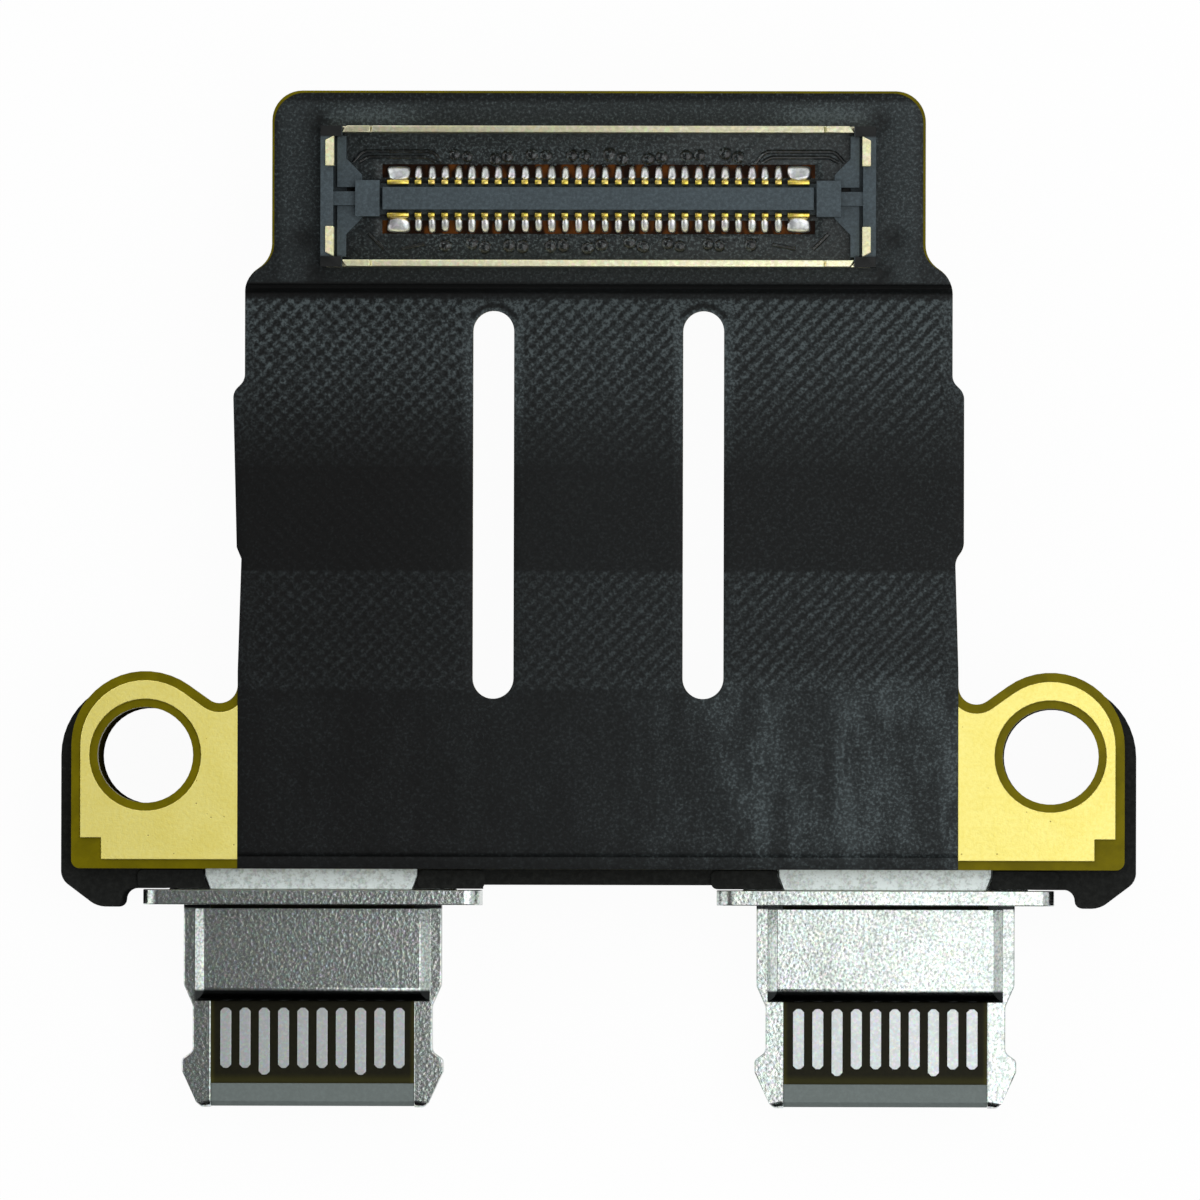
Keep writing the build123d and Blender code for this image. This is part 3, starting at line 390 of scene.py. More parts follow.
def coverlay_film():
    """Black film: hatched legs, a creased step, smudges and rubbing, gloss in the connector, and painted
    shade, sheen and glints.
    """
    colours, relief = settings("colours"), settings("relief")
    film = Surface("coverlay_film", {"IOR": 1.45, "Specular IOR Level": 0.16, "Coat Roughness": 0.12})
    x, y = film.x, film.y
    grain = film.noise(13.0, 2.0, 0.7)
    speckle = grain.rise(0.48, 0.78)
    fleck = grain.rise(0.34, 0.68)
    cloud = film.noise(1.1, 4.0, 0.6)
    mottle = film.noise(5.0, 3.0, 0.7)
    on_head = y.rise(HEAD_FOOT - 0.05, HEAD_FOOT + 0.05)
    in_link = (1 - abs(x).rise(6.4, 6.6)) * y.within(LINK_MIDDLE - 1.7, LINK_MIDDLE + 1.7, 0.1)
    from_slot = abs(abs(x) - SLOT_X)
    from_row = abs(y - ROW_MIDDLE)

    # Two crossed hatchings, of which the rising one grows stronger to the right
    turn = 2 * math.pi / relief.hatch_pitch
    along, across = math.cos(relief.hatch_slope), math.sin(relief.hatch_slope)
    sway = film.noise(0.9) * 0.12
    rising = ((y * along - x * across + sway) * turn).sine()
    falling = ((y * along + x * across + sway) * turn).sine()
    lean = 0.55 + x.rise(-4, 6) * 0.22
    inside_legs = from_slot.rise(0.74, 0.84) * (1 - abs(x).rise(8.85, 8.95))
    weave = (rising * lean + falling * (1 - lean)) * inside_legs
    dots = (weave * 0.5 + 0.5).rise(0.12, 0.85)

    # How much the hatching's dots show along the legs, and the plain margins of the slots
    upper_band = y.rise(SMOOTH_TOP - 0.1, SMOOTH_TOP + 0.2) * (1 - y.rise(HATCH_TOP - 0.05, HATCH_TOP + 0.05))
    upper_band = upper_band * (y.rise(SMOOTH_TOP - 0.2, HATCH_TOP - 0.2) * 1.03 + 0.07)
    upper_band = upper_band + y.within(HATCH_TOP - 0.3, HATCH_TOP + 0.05, 0.1) * 0.35
    lower_band = y.within(HATCH_FOOT, SMOOTH_FOOT, 0.08) * (x.rise(-7, 7) * 0.3 + 0.17)
    rows = y.within(SMOOTH_TOP, SMOOTH_TOP + 0.06, 0.05) * 0.3
    rows = rows + y.within(SMOOTH_FOOT - 0.05, SMOOTH_FOOT + 0.01, 0.05)
    margin = (1 - from_slot.rise(0.7, 0.84)) * y.rise(6.5, 11.0) * (1 - y.rise(11.5, 11.8))
    ground = (upper_band + lower_band) * (dots * 0.95 + 0.15) * (mottle * 2.0 + cloud * 0.8 - 0.35)
    ground = ground * (0.35 + fleck * 1.2) + margin * (0.4 + speckle * 1.2) + rows * dots * mottle * 0.4

    # Shade: the crease at the step, the arcs round the slots' ends and the dents
    reach = (from_slot * from_slot + (y - SLOT_END) * (y - SLOT_END)).root()
    arc = reach.within(0.6, 0.74, 0.05) * y.rise(SLOT_END + 0.2, SLOT_END + 0.4)
    arc = arc * (1 - y.rise(HATCH_TOP + 0.05, HATCH_TOP + 0.15))
    crease = y.within(HEAD_STEP - 0.05, HEAD_STEP + 0.03, 0.03)
    shade = crease * 0.8 + y.within(FLARE_END, HEAD_STEP, 0.08) * 0.5 + arc * 0.9
    for out, up, depth in DENTS:
        aside, above = abs(x) - (LINK_HALF_LENGTH + out), y - (LINK_MIDDLE + up)
        shade = shade + (1 - (aside * aside + above * above).root().rise(0.05, 0.5)) * (depth * 0.7)

    # Wear and painted light: a smudge on the right, a scratch, dust, and a painted sheen on the head
    streaks = film.noise(1.3, 4.0, 0.65, film.vector("MULTIPLY", film.place, (1.0, 0.3, 1.0)))
    smudge = (streaks.rise(0.35, 0.7) * 0.9 + 0.3) * (x.rise(-1, 6.5) + 0.08) * y.within(-2.7, 1.8, 0.6)
    scratch = (x + y * 0.04).within(4.0, 4.05, 0.015) * y.within(-0.75, 0.64, 0.15)
    # The sheen: a painted highlight at the head's upper corners, and a lighter tone over the upper head
    sheen = abs(x).within(4.9, 6.9, 0.9) * y.within(16.35, 16.75, 0.25) * 3.2 + y.rise(13.2, 13.8) * 0.5
    # Lighter towards the right, in the connector and over the head
    lighter_tone = x.rise(-6, 0) * 0.05 + in_link * 0.02
    lighter_tone = lighter_tone + on_head * (0.14 + x.rise(2, 8) * 0.05 + abs(x).rise(7.2, 7.6) * 0.07)
    rubbed_and_sheen = smudge * 3.1 + sheen * on_head * 1.1 + scratch * 0.8
    wear_and_sheen = ground * 0.5 + lighter_tone + rubbed_and_sheen * (0.05 + mottle * 0.6 + speckle * 0.7) * 0.36
    # Painted shade: darker along the head's top edge and its sides, where the film rolls down
    rim = y.rise(16.8, 17.05) + abs(x).rise(8.05, 8.4) * on_head * 0.6
    wear_and_sheen = wear_and_sheen * (0.7 + fleck * 0.6) * (1 - rim.rise(0.0, 1.0) * 0.8)
    wear_and_sheen = wear_and_sheen + speckle * (0.08 + on_head * 0.22 + x.rise(-4, 9) * 0.12)
    wear_and_sheen = wear_and_sheen + grain.rise(0.64, 0.8) * on_head * 0.4

    # Inside the connector: dark raised places, painted glints by the joints, painted shade beside the bar
    raised = film.z.rise(SEAT + 0.025, SEAT + 0.045) * in_link
    glints = grain.rise(0.54, 0.66) * from_row.within(0.92, 1.32, 0.05) * (1 - abs(x).rise(4.2, 4.6))
    shade_beside_bar = in_link * (1 - from_row.rise(0.42, 0.56))
    wear_and_sheen = wear_and_sheen * (1 - raised * 0.9) + in_link * (glints * 1.6 + speckle * 0.5 + mottle.rise(0.4, 0.7) * 0.12)
    wear_and_sheen = wear_and_sheen * (1 - shade_beside_bar * 0.9)
    height = weave * 0.5 + grain * 0.5 + cloud * 0.8 - arc * 3.0 - crease * 5.0
    return film.paint(
        Base_Color=film.blend(wear_and_sheen * (1 - shade), colours.film, colours.film_light),
        Roughness=0.42 + cloud * 0.2 - on_head * 0.1 - in_link * 0.1,
        Coat_Weight=(in_link - shade_beside_bar) * (0.12 + raised * 0.5),
        Normal=film.relief(height, relief.hatch_depth),
    )


def layered(name, colour, shade, window=None):
    """A bare laminate or film layer: a warm tone with soft clouds, and an amber tone in the windows."""
    layer = Surface(name, {"IOR": 1.5, "Specular IOR Level": 0.06})
    cloud = layer.noise(1.6, 4.0, 0.6)
    fine = layer.noise(9.0, 2.0)
    tone = layer.blend(cloud.rise(0.3, 0.7), colour, shaded(colour, shade))
    if window:
        inside = (1 - abs(layer.x).rise(5.6, 5.8)) * layer.y.within(ROW_MIDDLE - 1.1, ROW_MIDDLE + 1.1, 0.1)
        streak = layer.noise(3.4, 2.0, place=layer.vector("MULTIPLY", layer.place, (1.0, 0.45, 0.2)))
        patch = layer.blend(streak.rise(0.32, 0.52), window, shaded(window, 0.12))
        tone = layer.blend(inside, tone, patch)
    return layer.paint(Base_Color=tone, Roughness=0.3 + fine * 0.2, Normal=layer.relief(fine, 0.003))


def polyimide():
    return layered("polyimide", settings("colours").polyimide, 0.75)


def head_laminate():
    colours = settings("colours")
    return layered("head_laminate", colours.polyimide, 0.7, colours.amber)


def base_board():
    return layered("base_board", settings("colours").polyimide, 0.55)


def pad_gold():
    """Soft gold plating, with faint clouds, tiny pits and a rolled sheen."""
    gold = Surface("pad_gold", {"Metallic": 1.0})
    cloud = gold.noise(1.1, 3.0, 0.5)
    fine = gold.noise(10.0, 2.0, 0.7)
    pits = 1 - Field(gold, gold.grains(2.6)).rise(0.03, 0.07)
    base = settings("colours").gold
    warm = [base[0] * 0.95, base[1] * 0.92, base[2] * 0.72, 1.0]
    tone = gold.blend(cloud.rise(0.35, 0.7) * 0.45 + fine.rise(0.35, 0.7) * 0.55, base, warm)
    tone = gold.blend(pits * 0.7, tone, srgb(150, 118, 24))
    return gold.paint(
        Base_Color=tone,
        Roughness=0.5 + fine * 0.1,
        Normal=gold.relief(fine * 0.8 + cloud - pits, 0.006),
    )


def moulding(name, colour, roughness, depth, per_mm, light=1.6, shine=0.15, accent=None, place=None):
    """A moulded plastic: grain in height and colour, and an accent colour where the function place says."""
    plastic = Surface(name, {"IOR": 1.5, "Specular IOR Level": shine})
    fine = plastic.noise(per_mm, 3.0, 0.7)
    cloud = plastic.noise(0.9, 4.0, 0.6)
    dust = fine.rise(0.35, 0.75) * 0.75 + cloud.rise(0.45, 0.8) * 0.25
    tone = plastic.blend(dust, colour, shaded(colour, light))
    if place:
        tone = plastic.blend(place(plastic), tone, accent)
    normal = plastic.relief(fine, depth)
    return plastic.paint(Base_Color=tone, Roughness=roughness + cloud * 0.15, Normal=normal)


def carrier_plastic():
    def bores(plastic):
        """The walls of the screw holes, which the layers round them tint."""
        aside = abs(plastic.x) - HOLE_X
        reach = (aside * aside + plastic.y * plastic.y).root()
        return 1 - reach.rise(HOLE_RADIUS - 0.02, HOLE_RADIUS + 0.02)

    colour = settings("colours").carrier
    return moulding("carrier_plastic", colour, 0.45, 0.02, 7.0, 1.8, 0.0, srgb(50, 45, 12), bores)


def link_plastic():
    def corners(plastic):
        """The four posts, which the film rises round and darkens."""
        return abs(plastic.x).rise(6.6, 6.66) * abs(plastic.y - LINK_MIDDLE).rise(1.5, 1.58)

    colour = settings("colours").housing
    return moulding("link_plastic", colour, 0.4, 0.004, 11.0, 1.9, 0.25, srgb(22, 24, 24), corners)


def insulator_plastic():
    def rim(plastic):
        """The thin edges of the tongues' insulators, where the light comes through."""
        front = plastic.y.within(TONGUE_TIP, TONGUE_TIP + 0.16, 0.12) * 0.5
        return front + abs(abs(plastic.x) - PORT_X).rise(2.5, 2.64) * 0.6

    colour = settings("colours").insulator
    return moulding("insulator_plastic", colour, 0.4, 0.003, 10.0, 1.6, 0.12, srgb(66, 64, 20), rim)


def nose_plastic():
    return moulding("nose_plastic", settings("colours").nose, 0.4, 0.003, 10.0, 1.2)


def grained_metal(name, colour, roughness, depth, per_mm, dark=0.72, drawn=0.0, rougher=None, painted_shade=None,
                  sparkle=0.16, pale=None):
    """A plated metal: sparkling grain, soft stains, drawn lines, rougher or pale places, and painted shade
    where asked.
    """
    metal = Surface(name, {"Metallic": 1.0})
    grain = metal.noise(per_mm, 2.0, 0.6)
    facets = Field(metal, metal.grains(per_mm * 0.8))
    stain = metal.noise(0.8, 4.0, 0.6)
    lines = metal.noise(7.0, 2.0, 0.5, metal.vector("MULTIPLY", metal.place, (0.12, 3.0, 3.0)))
    tint = metal.vector("SCALE", metal.grains(per_mm * 1.2, "Color"), Scale=sparkle)
    base = [value * (1 - sparkle / 2) for value in colour[:3]]
    bright = metal.vector("ADD", base, tint)
    spots = grain.rise(0.38, 0.66) * 0.7 + stain.rise(0.4, 0.75) * 0.3
    tone = metal.blend(spots, bright, shaded(colour, dark))
    # Painted shade: a dark grey blended in where the given function says
    if painted_shade:
        tone = metal.blend(painted_shade(metal), tone, srgb(40, 42, 42))
    if pale:
        patches = metal.noise(per_mm * 0.45, 3.0, 0.7).rise(0.42, 0.62)
        tone = metal.blend(pale(metal) * (1 - patches * 0.55), tone, srgb(245, 253, 252))
    return metal.paint(
        Base_Color=tone,
        Roughness=roughness + grain * 0.14 + stain * 0.05 + (rougher(metal) if rougher else 0.0),
        Normal=metal.relief(grain * 0.6 + facets * 0.5 + lines * drawn, depth),
    )


def port_nickel():
    def saddle(metal):
        """The saddles under the board's edge, which are rough and pale."""
        return metal.y.rise(-3.5, -3.45)

    def rough_saddle(metal):
        return saddle(metal) * 0.45

    def shadow_lines(metal):
        """Painted shade in the line where the rails go in under the flange, and on the shoulders' turned-down
        front edge.
        """
        top = high("left_tongue_frame").z
        under_flange = metal.y.within(FLANGE_BACK - 0.05, FLANGE_BACK + 0.05, 0.02)
        front_edge = metal.y.within(-6.5, -6.08, 0.04) * metal.z.rise(top + 0.02, top + 0.05)
        return under_flange * (1 - metal.z.rise(2.2, 2.4)) + front_edge

    colour, depth = settings("colours").nickel, settings("relief").grain_depth
    places = {"rougher": rough_saddle, "painted_shade": shadow_lines, "pale": saddle}
    return grained_metal("port_nickel", colour, 0.13, depth, 13.0, 0.5, **places)


def port_contact_plating():
    return grained_metal("port_contact_plating", settings("colours").port_contact, 0.3, 0.001, 14.0, 0.9)


def shield_plating():
    def nails(metal):
        """The corner returns, which are rougher than the bars."""
        return abs(metal.x).rise(6.64, 6.68) * 0.3

    def shaded_back_bar(metal):
        """Painted shade on the back bar, which leans away from the light."""
        return metal.y.rise(LINK_MIDDLE, LINK_MIDDLE + 0.1) * (1 - abs(metal.x).rise(6.6, 6.66)) * 0.3

    colour = settings("colours").shield
    return grained_metal("shield_plating", colour, 0.24, 0.003, 9.0, 0.8, 1.2, nails, shaded_back_bar)


def contact_gold():
    return grained_metal("contact_gold", settings("colours").contact_gold, 0.24, 0.001, 14.0, 0.75)


def solder():
    return grained_metal("solder", settings("colours").solder, 0.25, 0.0025, 8.0, 0.68, sparkle=0.1)


FINISHES = {
    maker.__name__: maker
    for maker in (
        coverlay_film, polyimide, head_laminate, base_board, pad_gold,
        carrier_plastic, link_plastic, insulator_plastic, nose_plastic,
        port_nickel, port_contact_plating, shield_plating, contact_gold, solder,
    )
}


def finish(slot):
    """The material of a slot, made the first time that it is asked for."""
    return bpy.data.materials.get(slot + "_finish") or FINISHES[slot]()


# Pieces


def placed(name, data):
    """A new object of the scene that shows some data."""
    made = bpy.data.objects.new(name, data)
    bpy.context.scene.collection.objects.link(made)
    return made


def add_piece(name, mesh, slot, replaced=()):
    """Puts a finished mesh into the scene as a piece that rides on the board."""
    mesh.name = name
    mesh.materials.clear()
    mesh.materials.append(finish(slot))
    piece = placed(name, mesh)
    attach(piece, "root")
    if replaced:
        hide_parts(*replaced)
    return piece


def dress(node):
    """Gives a CAD node that keeps its shape its full finish."""
    holder = frame["nodes"][node]
    for place in holder.material_slots:
        place.material = finish(SLOT_OF[node])


def to_mesh(shape, name, sharp=SHARP_ANGLE):
    """A smooth mesh from a bmesh that is in millimetres, with its hard edges kept."""
    bmesh.ops.scale(shape, vec=(MM, MM, MM), verts=shape.verts)
    mesh = bpy.data.meshes.new(name)
    shape.to_mesh(mesh)
    shape.free()
    mesh.shade_smooth()
    mesh.set_sharp_from_angle(angle=sharp)
    return mesh


def welded(node):
    """A CAD node's solid as a bmesh in millimetres, with its corners joined and its flat faces whole."""
    shape = bmesh.new()
    shape.from_mesh(frame["nodes"][node].data)
    bmesh.ops.scale(shape, vec=(1 / MM, 1 / MM, 1 / MM), verts=shape.verts)
    bmesh.ops.remove_doubles(shape, verts=shape.verts, dist=WELD)
    bmesh.ops.dissolve_limit(shape, angle_limit=math.radians(0.5), verts=shape.verts, edges=shape.edges)
    return shape


def baked(holder):
    """The plain mesh of an object with its modifiers applied; the object is then removed."""
    evaluated = holder.evaluated_get(bpy.context.evaluated_depsgraph_get())
    mesh = bpy.data.meshes.new_from_object(evaluated)
    bpy.data.objects.remove(holder)
    return mesh


def bevelled(shape, lines, radius, segments):
    """Rounds some edges of a bmesh in millimetres."""
    form = {"offset_type": "OFFSET", "profile": 0.5, "affect": "EDGES"}
    bmesh.ops.bevel(shape, geom=lines, offset=radius, segments=segments, **form)


def round_edges(shape, radius, chosen):
    """Rounds the sharp edges of a bmesh in millimetres whose two ends pass a test."""
    sharp = [line for line in shape.edges if line.calc_face_angle(0) > SHARP_ANGLE]
    bevelled(shape, [line for line in sharp if chosen(*(vertex.co for vertex in line.verts))], radius, 4)


def tab_corner(first, second):
    """Whether an edge is an upright one at a corner of the legs' side tabs."""
    beside_legs = abs(first.x) > 9 and 5 < first.y < 10.2
    return beside_legs and (first - second).xy.length < WELD


def soften(node, width, segments=2, shape=None):
    """Replaces a CAD node by the same solid, or by a shape made from it, with its edges rounded."""
    holder = placed(node + "_soft", to_mesh(shape or welded(node), node + "_soft"))
    bevel = holder.modifiers.new("Rounded edges", "BEVEL")
    bevel.width = width * MM
    bevel.segments = segments
    bevel.limit_method = "ANGLE"
    bevel.angle_limit = BEVEL_ANGLE
    bevel.miter_outer = "MITER_ARC"
    weighted = holder.modifiers.new("Even faces", "WEIGHTED_NORMAL")
    weighted.keep_sharp = True
    bpy.context.view_layer.update()
    return add_piece(node + "_soft", baked(holder), SLOT_OF[node], [node])


# Rows made by Geometry Nodes


def new_tree(name, inputs):
    """A Geometry Nodes group with named inputs and a geometry output, and the sockets of what comes in."""
    group = bpy.data.node_groups.new(name, "GeometryNodeTree")
    for label, kind, default in inputs:
        socket = group.interface.new_socket(label, in_out="INPUT", socket_type="NodeSocket" + kind)
        if default is not None:
            socket.default_value = default
    group.interface.new_socket("Geometry", in_out="OUTPUT", socket_type="NodeSocketGeometry")
    tree = Tree(group)
    return tree, tree.node("NodeGroupInput").outputs


def end_tree(tree, geometry, material):
    """Ends a Geometry Nodes group: instances made real, the material and the output."""
    real = tree.node("GeometryNodeRealizeInstances", (), {"Geometry": geometry})
    done = tree.node("GeometryNodeSetMaterial", (), {"Geometry": real.outputs[0], "Material": material})
    tree.node("NodeGroupOutput", (), {"Geometry": done.outputs[0]})
    return tree.tree


def row_tree():
    """A row of copies of one item along X, each a little uneven in place, turn and size."""
    name = "Row of copies"
    if name in bpy.data.node_groups:
        return bpy.data.node_groups[name]
    tree, given = new_tree(name, (
        ("Item", "Object", None),
        ("Count", "Int", 2),
        ("Pitch", "Float", 1.0),
        ("Start", "Vector", (0, 0, 0)),
        ("Shift", "Float", 0.0),
        ("Turn", "Float", 0.0),
        ("Swell", "Float", 0.0),
        ("Seed", "Int", 0),
        ("Material", "Material", None),
    ))
    step = tree.node("ShaderNodeCombineXYZ", (), {"X": given["Pitch"]}).outputs[0]
    inputs = {"Count": given["Count"], "Start Location": given["Start"], "Offset": step}
    line = tree.node("GeometryNodeMeshLine", {"mode": "OFFSET"}, inputs)

    def uneven(spread, seed_step, axes):
        """Random vectors that reach the spread both ways along the axes."""
        reach = tree.vector("SCALE", axes, Scale=spread)
        back = tree.vector("SCALE", reach, Scale=-1.0)
        seed = tree.math("ADD", given["Seed"], float(seed_step))
        inputs = {0: back, 1: reach, "Seed": seed}
        return tree.node("FunctionNodeRandomValue", {"data_type": "FLOAT_VECTOR"}, inputs).outputs[0]

    inputs = {"Geometry": line.outputs["Mesh"], "Offset": uneven(given["Shift"], 1, (1.0, 1.0, 0.0))}
    moved = tree.node("GeometryNodeSetPosition", (), inputs)
    item = tree.node("GeometryNodeObjectInfo", {"transform_space": "ORIGINAL"}, {"Object": given["Item"]})
    inputs = {
        "Points": moved.outputs[0],
        "Instance": item.outputs["Geometry"],
        "Rotation": uneven(given["Turn"], 2, (0.0, 0.0, 1.0)),
        "Scale": tree.vector("ADD", (1.0, 1.0, 1.0), uneven(given["Swell"], 3, (1.0, 1.0, 1.0))),
    }
    copies = tree.node("GeometryNodeInstanceOnPoints", (), inputs)
    return end_tree(tree, copies.outputs[0], given["Material"])


def ridge_tree():
    """A low round ridge along a path, with rounded corners."""
    name = "Ridge along a path"
    if name in bpy.data.node_groups:
        return bpy.data.node_groups[name]
    tree, given = new_tree(name, (
        ("Geometry", "Geometry", None),
        ("Radius", "Float", 1.0),
        ("Corner", "Float", 1.0),
        ("Material", "Material", None),
    ))
    inputs = {"Curve": given["Geometry"], "Radius": given["Corner"], "Count": 6, "Limit Radius": True}
    rounded = tree.node("GeometryNodeFilletCurve", {"mode": "POLY"}, inputs)
    section = tree.node("GeometryNodeCurvePrimitiveCircle", (), {"Resolution": 10, "Radius": given["Radius"]})
    inputs = {"Curve": rounded.outputs[0], "Profile Curve": section.outputs[0], "Fill Caps": True}
    swept = tree.node("GeometryNodeCurveToMesh", (), inputs)
    smooth = tree.node("GeometryNodeSetShadeSmooth", (), {"Geometry": swept.outputs[0]})
    return end_tree(tree, smooth.outputs[0], given["Material"])


def run_tree(holder, group, values):
    """Runs a tree on an object with its inputs set, and returns the plain mesh."""
    modifier = holder.modifiers.new(group.name, "NODES")
    modifier.node_group = group
    for socket in group.interface.items_tree:
        if socket.in_out == "INPUT" and socket.name in values:
            modifier[socket.identifier] = values[socket.name]
    bpy.context.view_layer.update()
    return baked(holder)


def row(item, slot, count, pitch, start, shift=0.0, turn=0.0, swell=0.0, seed=0):
    """One row of copies of an item mesh, as a mesh. Sizes are in millimetres."""
    holder = placed("row", bpy.data.meshes.new("row"))
    source = placed("row_item", item)
    values = {
        "Item": source,
        "Count": count,
        "Pitch": pitch * MM,
        "Start": [value * MM for value in start],
        "Shift": shift * MM,
        "Turn": turn,
        "Swell": swell,
        "Seed": seed,
        "Material": finish(slot),
    }
    mesh = run_tree(holder, row_tree(), values)
    bpy.data.objects.remove(source)
    return mesh


def spacing(node, count, width):
    """The pitch of equal things spread over a CAD row, and where the first one's middle lies along X."""
    first, last = low(node).x + width / 2, high(node).x - width / 2
    return (last - first) / (count - 1), first


def joined(meshes, name, sharp=SHARP_ANGLE):
    """Several meshes as one."""
    shape = bmesh.new()
    for mesh in meshes:
        shape.from_mesh(mesh)
    bmesh.ops.scale(shape, vec=(1 / MM, 1 / MM, 1 / MM), verts=shape.verts)
    return to_mesh(shape, name, sharp)


# Item meshes, in millimetres round their own middle


def prism(outline, half_width, axis, edge, name):
    """A closed prism of an outline, with its edges rounded. The outline lies across the axis."""
    shape = bmesh.new()
    start = Vector((-half_width, 0, 0)) if axis == "X" else Vector((0, 0, -half_width))
    points = [start + (Vector((0, a, b)) if axis == "X" else Vector((a, b, 0))) for a, b in outline]
    face = shape.faces.new([shape.verts.new(point) for point in points])
    raised = bmesh.ops.extrude_face_region(shape, geom=[face])["geom"]
    for vertex in raised:
        if isinstance(vertex, bmesh.types.BMVert):
            vertex.co -= 2 * start
    bmesh.ops.recalc_face_normals(shape, faces=shape.faces)
    if edge:
        bevelled(shape, [line for line in shape.edges if line.calc_face_angle(0) > BEVEL_ANGLE], edge, 2)
    return to_mesh(shape, name)


def pill(width, length, thick, name):
    """A flat strip with fully rounded ends, along Y."""
    radius = width / 2
    steps = 10
    outline = []
    for end in (1, -1):
        for index in range(steps + 1):
            angle = math.pi * index / steps + (0 if end == 1 else math.pi)
            outline.append((radius * math.cos(angle), end * (length / 2 - radius) + radius * math.sin(angle)))
    return prism(outline, thick / 2, "Z", thick * 0.2, name)


def contact_hook(width, side, edge):
    """A contact seen end on: up beside the bar, over in a round bend, and down to its solder joint."""
    inner = ((0.35, 0.0), (0.35, 0.45), (0.36, 0.485), (0.39, 0.5))
    outer = ((0.46, 0.497), (0.485, 0.47), (0.5, 0.35), (0.5, 0.0))
    return prism([(side * out, up) for out, up in inner + outer], width / 2, "X", edge, "contact_hook")


def mound(half_x, half_y, height, taper=0.0, square=2.0, middles=(0.0,), lean=0.0):
    """Low mounds side by side on a seat: squarer, narrower or higher at one end by square, taper and lean."""
    shape = bmesh.new()
    for middle in middles:
        made = bmesh.ops.create_icosphere(shape, subdivisions=3 if square > 2 else 2, radius=1.0)["verts"]
        for vertex in made:
            x, y, z = vertex.co
            reach = (abs(x) ** square + abs(y) ** square + abs(z) ** square) ** (1 / square)
            x, y, z = x / reach, y / reach, z / reach
            up = z * height * (1 + lean * y) if z > 0 else z * height * 0.2
            vertex.co = Vector((middle + x * half_x * (1 + taper * y), y * half_y, up))
    return to_mesh(shape, "mound")


# Operators


class INPUTBOARD_OT_film(bpy.types.Operator):
    """Makes the draped top film with its rolled edge, dents and slow waves"""

    bl_idname = "input_board.film"
    bl_label = "Top film"

    def execute(self, context):
        relief = settings("relief")
        shape = welded("top_coverlay")
        round_edges(shape, relief.tab_corner, tab_corner)
        start, end = low("top_coverlay"), high("top_coverlay")
        for axis in (0, 1):
            cuts = []
            place = start[axis] + relief.film_cell
            while place < end[axis] - relief.film_cell / 3:
                cuts.append(place)
                place += relief.film_cell
            if axis == 1:
                # Closer cuts where the film steps up to the head
                cuts += [FLARE_END - 0.12 + 0.04 * index for index in range(12)]
            for place in cuts:
                point, normal = Vector((0, 0, 0)), Vector((0, 0, 0))
                point[axis] = place
                normal[axis] = 1
                everything = shape.verts[:] + shape.edges[:] + shape.faces[:]
                bmesh.ops.bisect_plane(shape, geom=everything, dist=WELD, plane_co=point, plane_no=normal)
        self.drape(shape, relief)
        bmesh.ops.triangulate(shape, faces=[face for face in shape.faces if len(face.verts) > 4])
        add_piece("film_top", to_mesh(shape, "film_top"), SLOT_OF["top_coverlay"], ["top_coverlay"])
        return {"FINISHED"}

    def drape(self, shape, relief):
        """Moves the film's upper side: waves, dents, a soft step and a rolled edge."""
        shape.normal_update()
        upper = {vertex for face in shape.faces if face.normal.z > 0.3 for vertex in face.verts}
        rim = {vertex for vertex in upper if any(abs(face.normal.z) < 0.3 for face in vertex.link_faces)}
        tree = kdtree.KDTree(len(rim))
        for index, vertex in enumerate(rim):
            tree.insert(Vector((vertex.co.x, vertex.co.y, 0)), index)
        tree.balance()
        dents = [
            (side * (LINK_HALF_LENGTH + out), LINK_MIDDLE + up, depth)
            for side in (-1, 1)
            for out, up, depth in DENTS
        ]
        dent_spread, calm_reach = 0.12, 0.5
        for vertex in upper:
            x, y = vertex.co.x, vertex.co.y
            wave = noise.noise(Vector((x * 0.45, y * 0.45, 1.7))) + 0.4 * noise.noise(Vector((x, y, 4.1)))
            drop = 0.0
            for dent_x, dent_y, depth in dents:
                away = (x - dent_x) ** 2 + (y - dent_y) ** 2
                drop += depth * relief.dent_depth * math.exp(-away / dent_spread)
            near = tree.find(Vector((x, y, 0)))[2]
            roll = max(0.0, 1 - near / relief.edge_width) ** 2
            calm = min(1.0, near / calm_reach)
            vertex.co.z += wave * relief.film_wave * calm - min(drop, FILM * 0.8) - roll * relief.edge_drop


class INPUTBOARD_OT_circuit(bpy.types.Operator):
    """Dresses the layers of the circuit and rounds the ground pads"""

    bl_idname = "input_board.circuit"
    bl_label = "Circuit layers"

    def execute(self, context):
        relief = settings("relief")
        for node in ("head_buildup", "head_backing", "port_base"):
            dress(node)
        for node in ("flex_core", "bottom_coverlay"):
            shape = welded(node)
            round_edges(shape, relief.tab_corner, tab_corner)
            soften(node, relief.layer_edge, 1, shape)
        for side in SIDES:
            soften(side + "_ground_pad", relief.fine_edge)
        return {"FINISHED"}


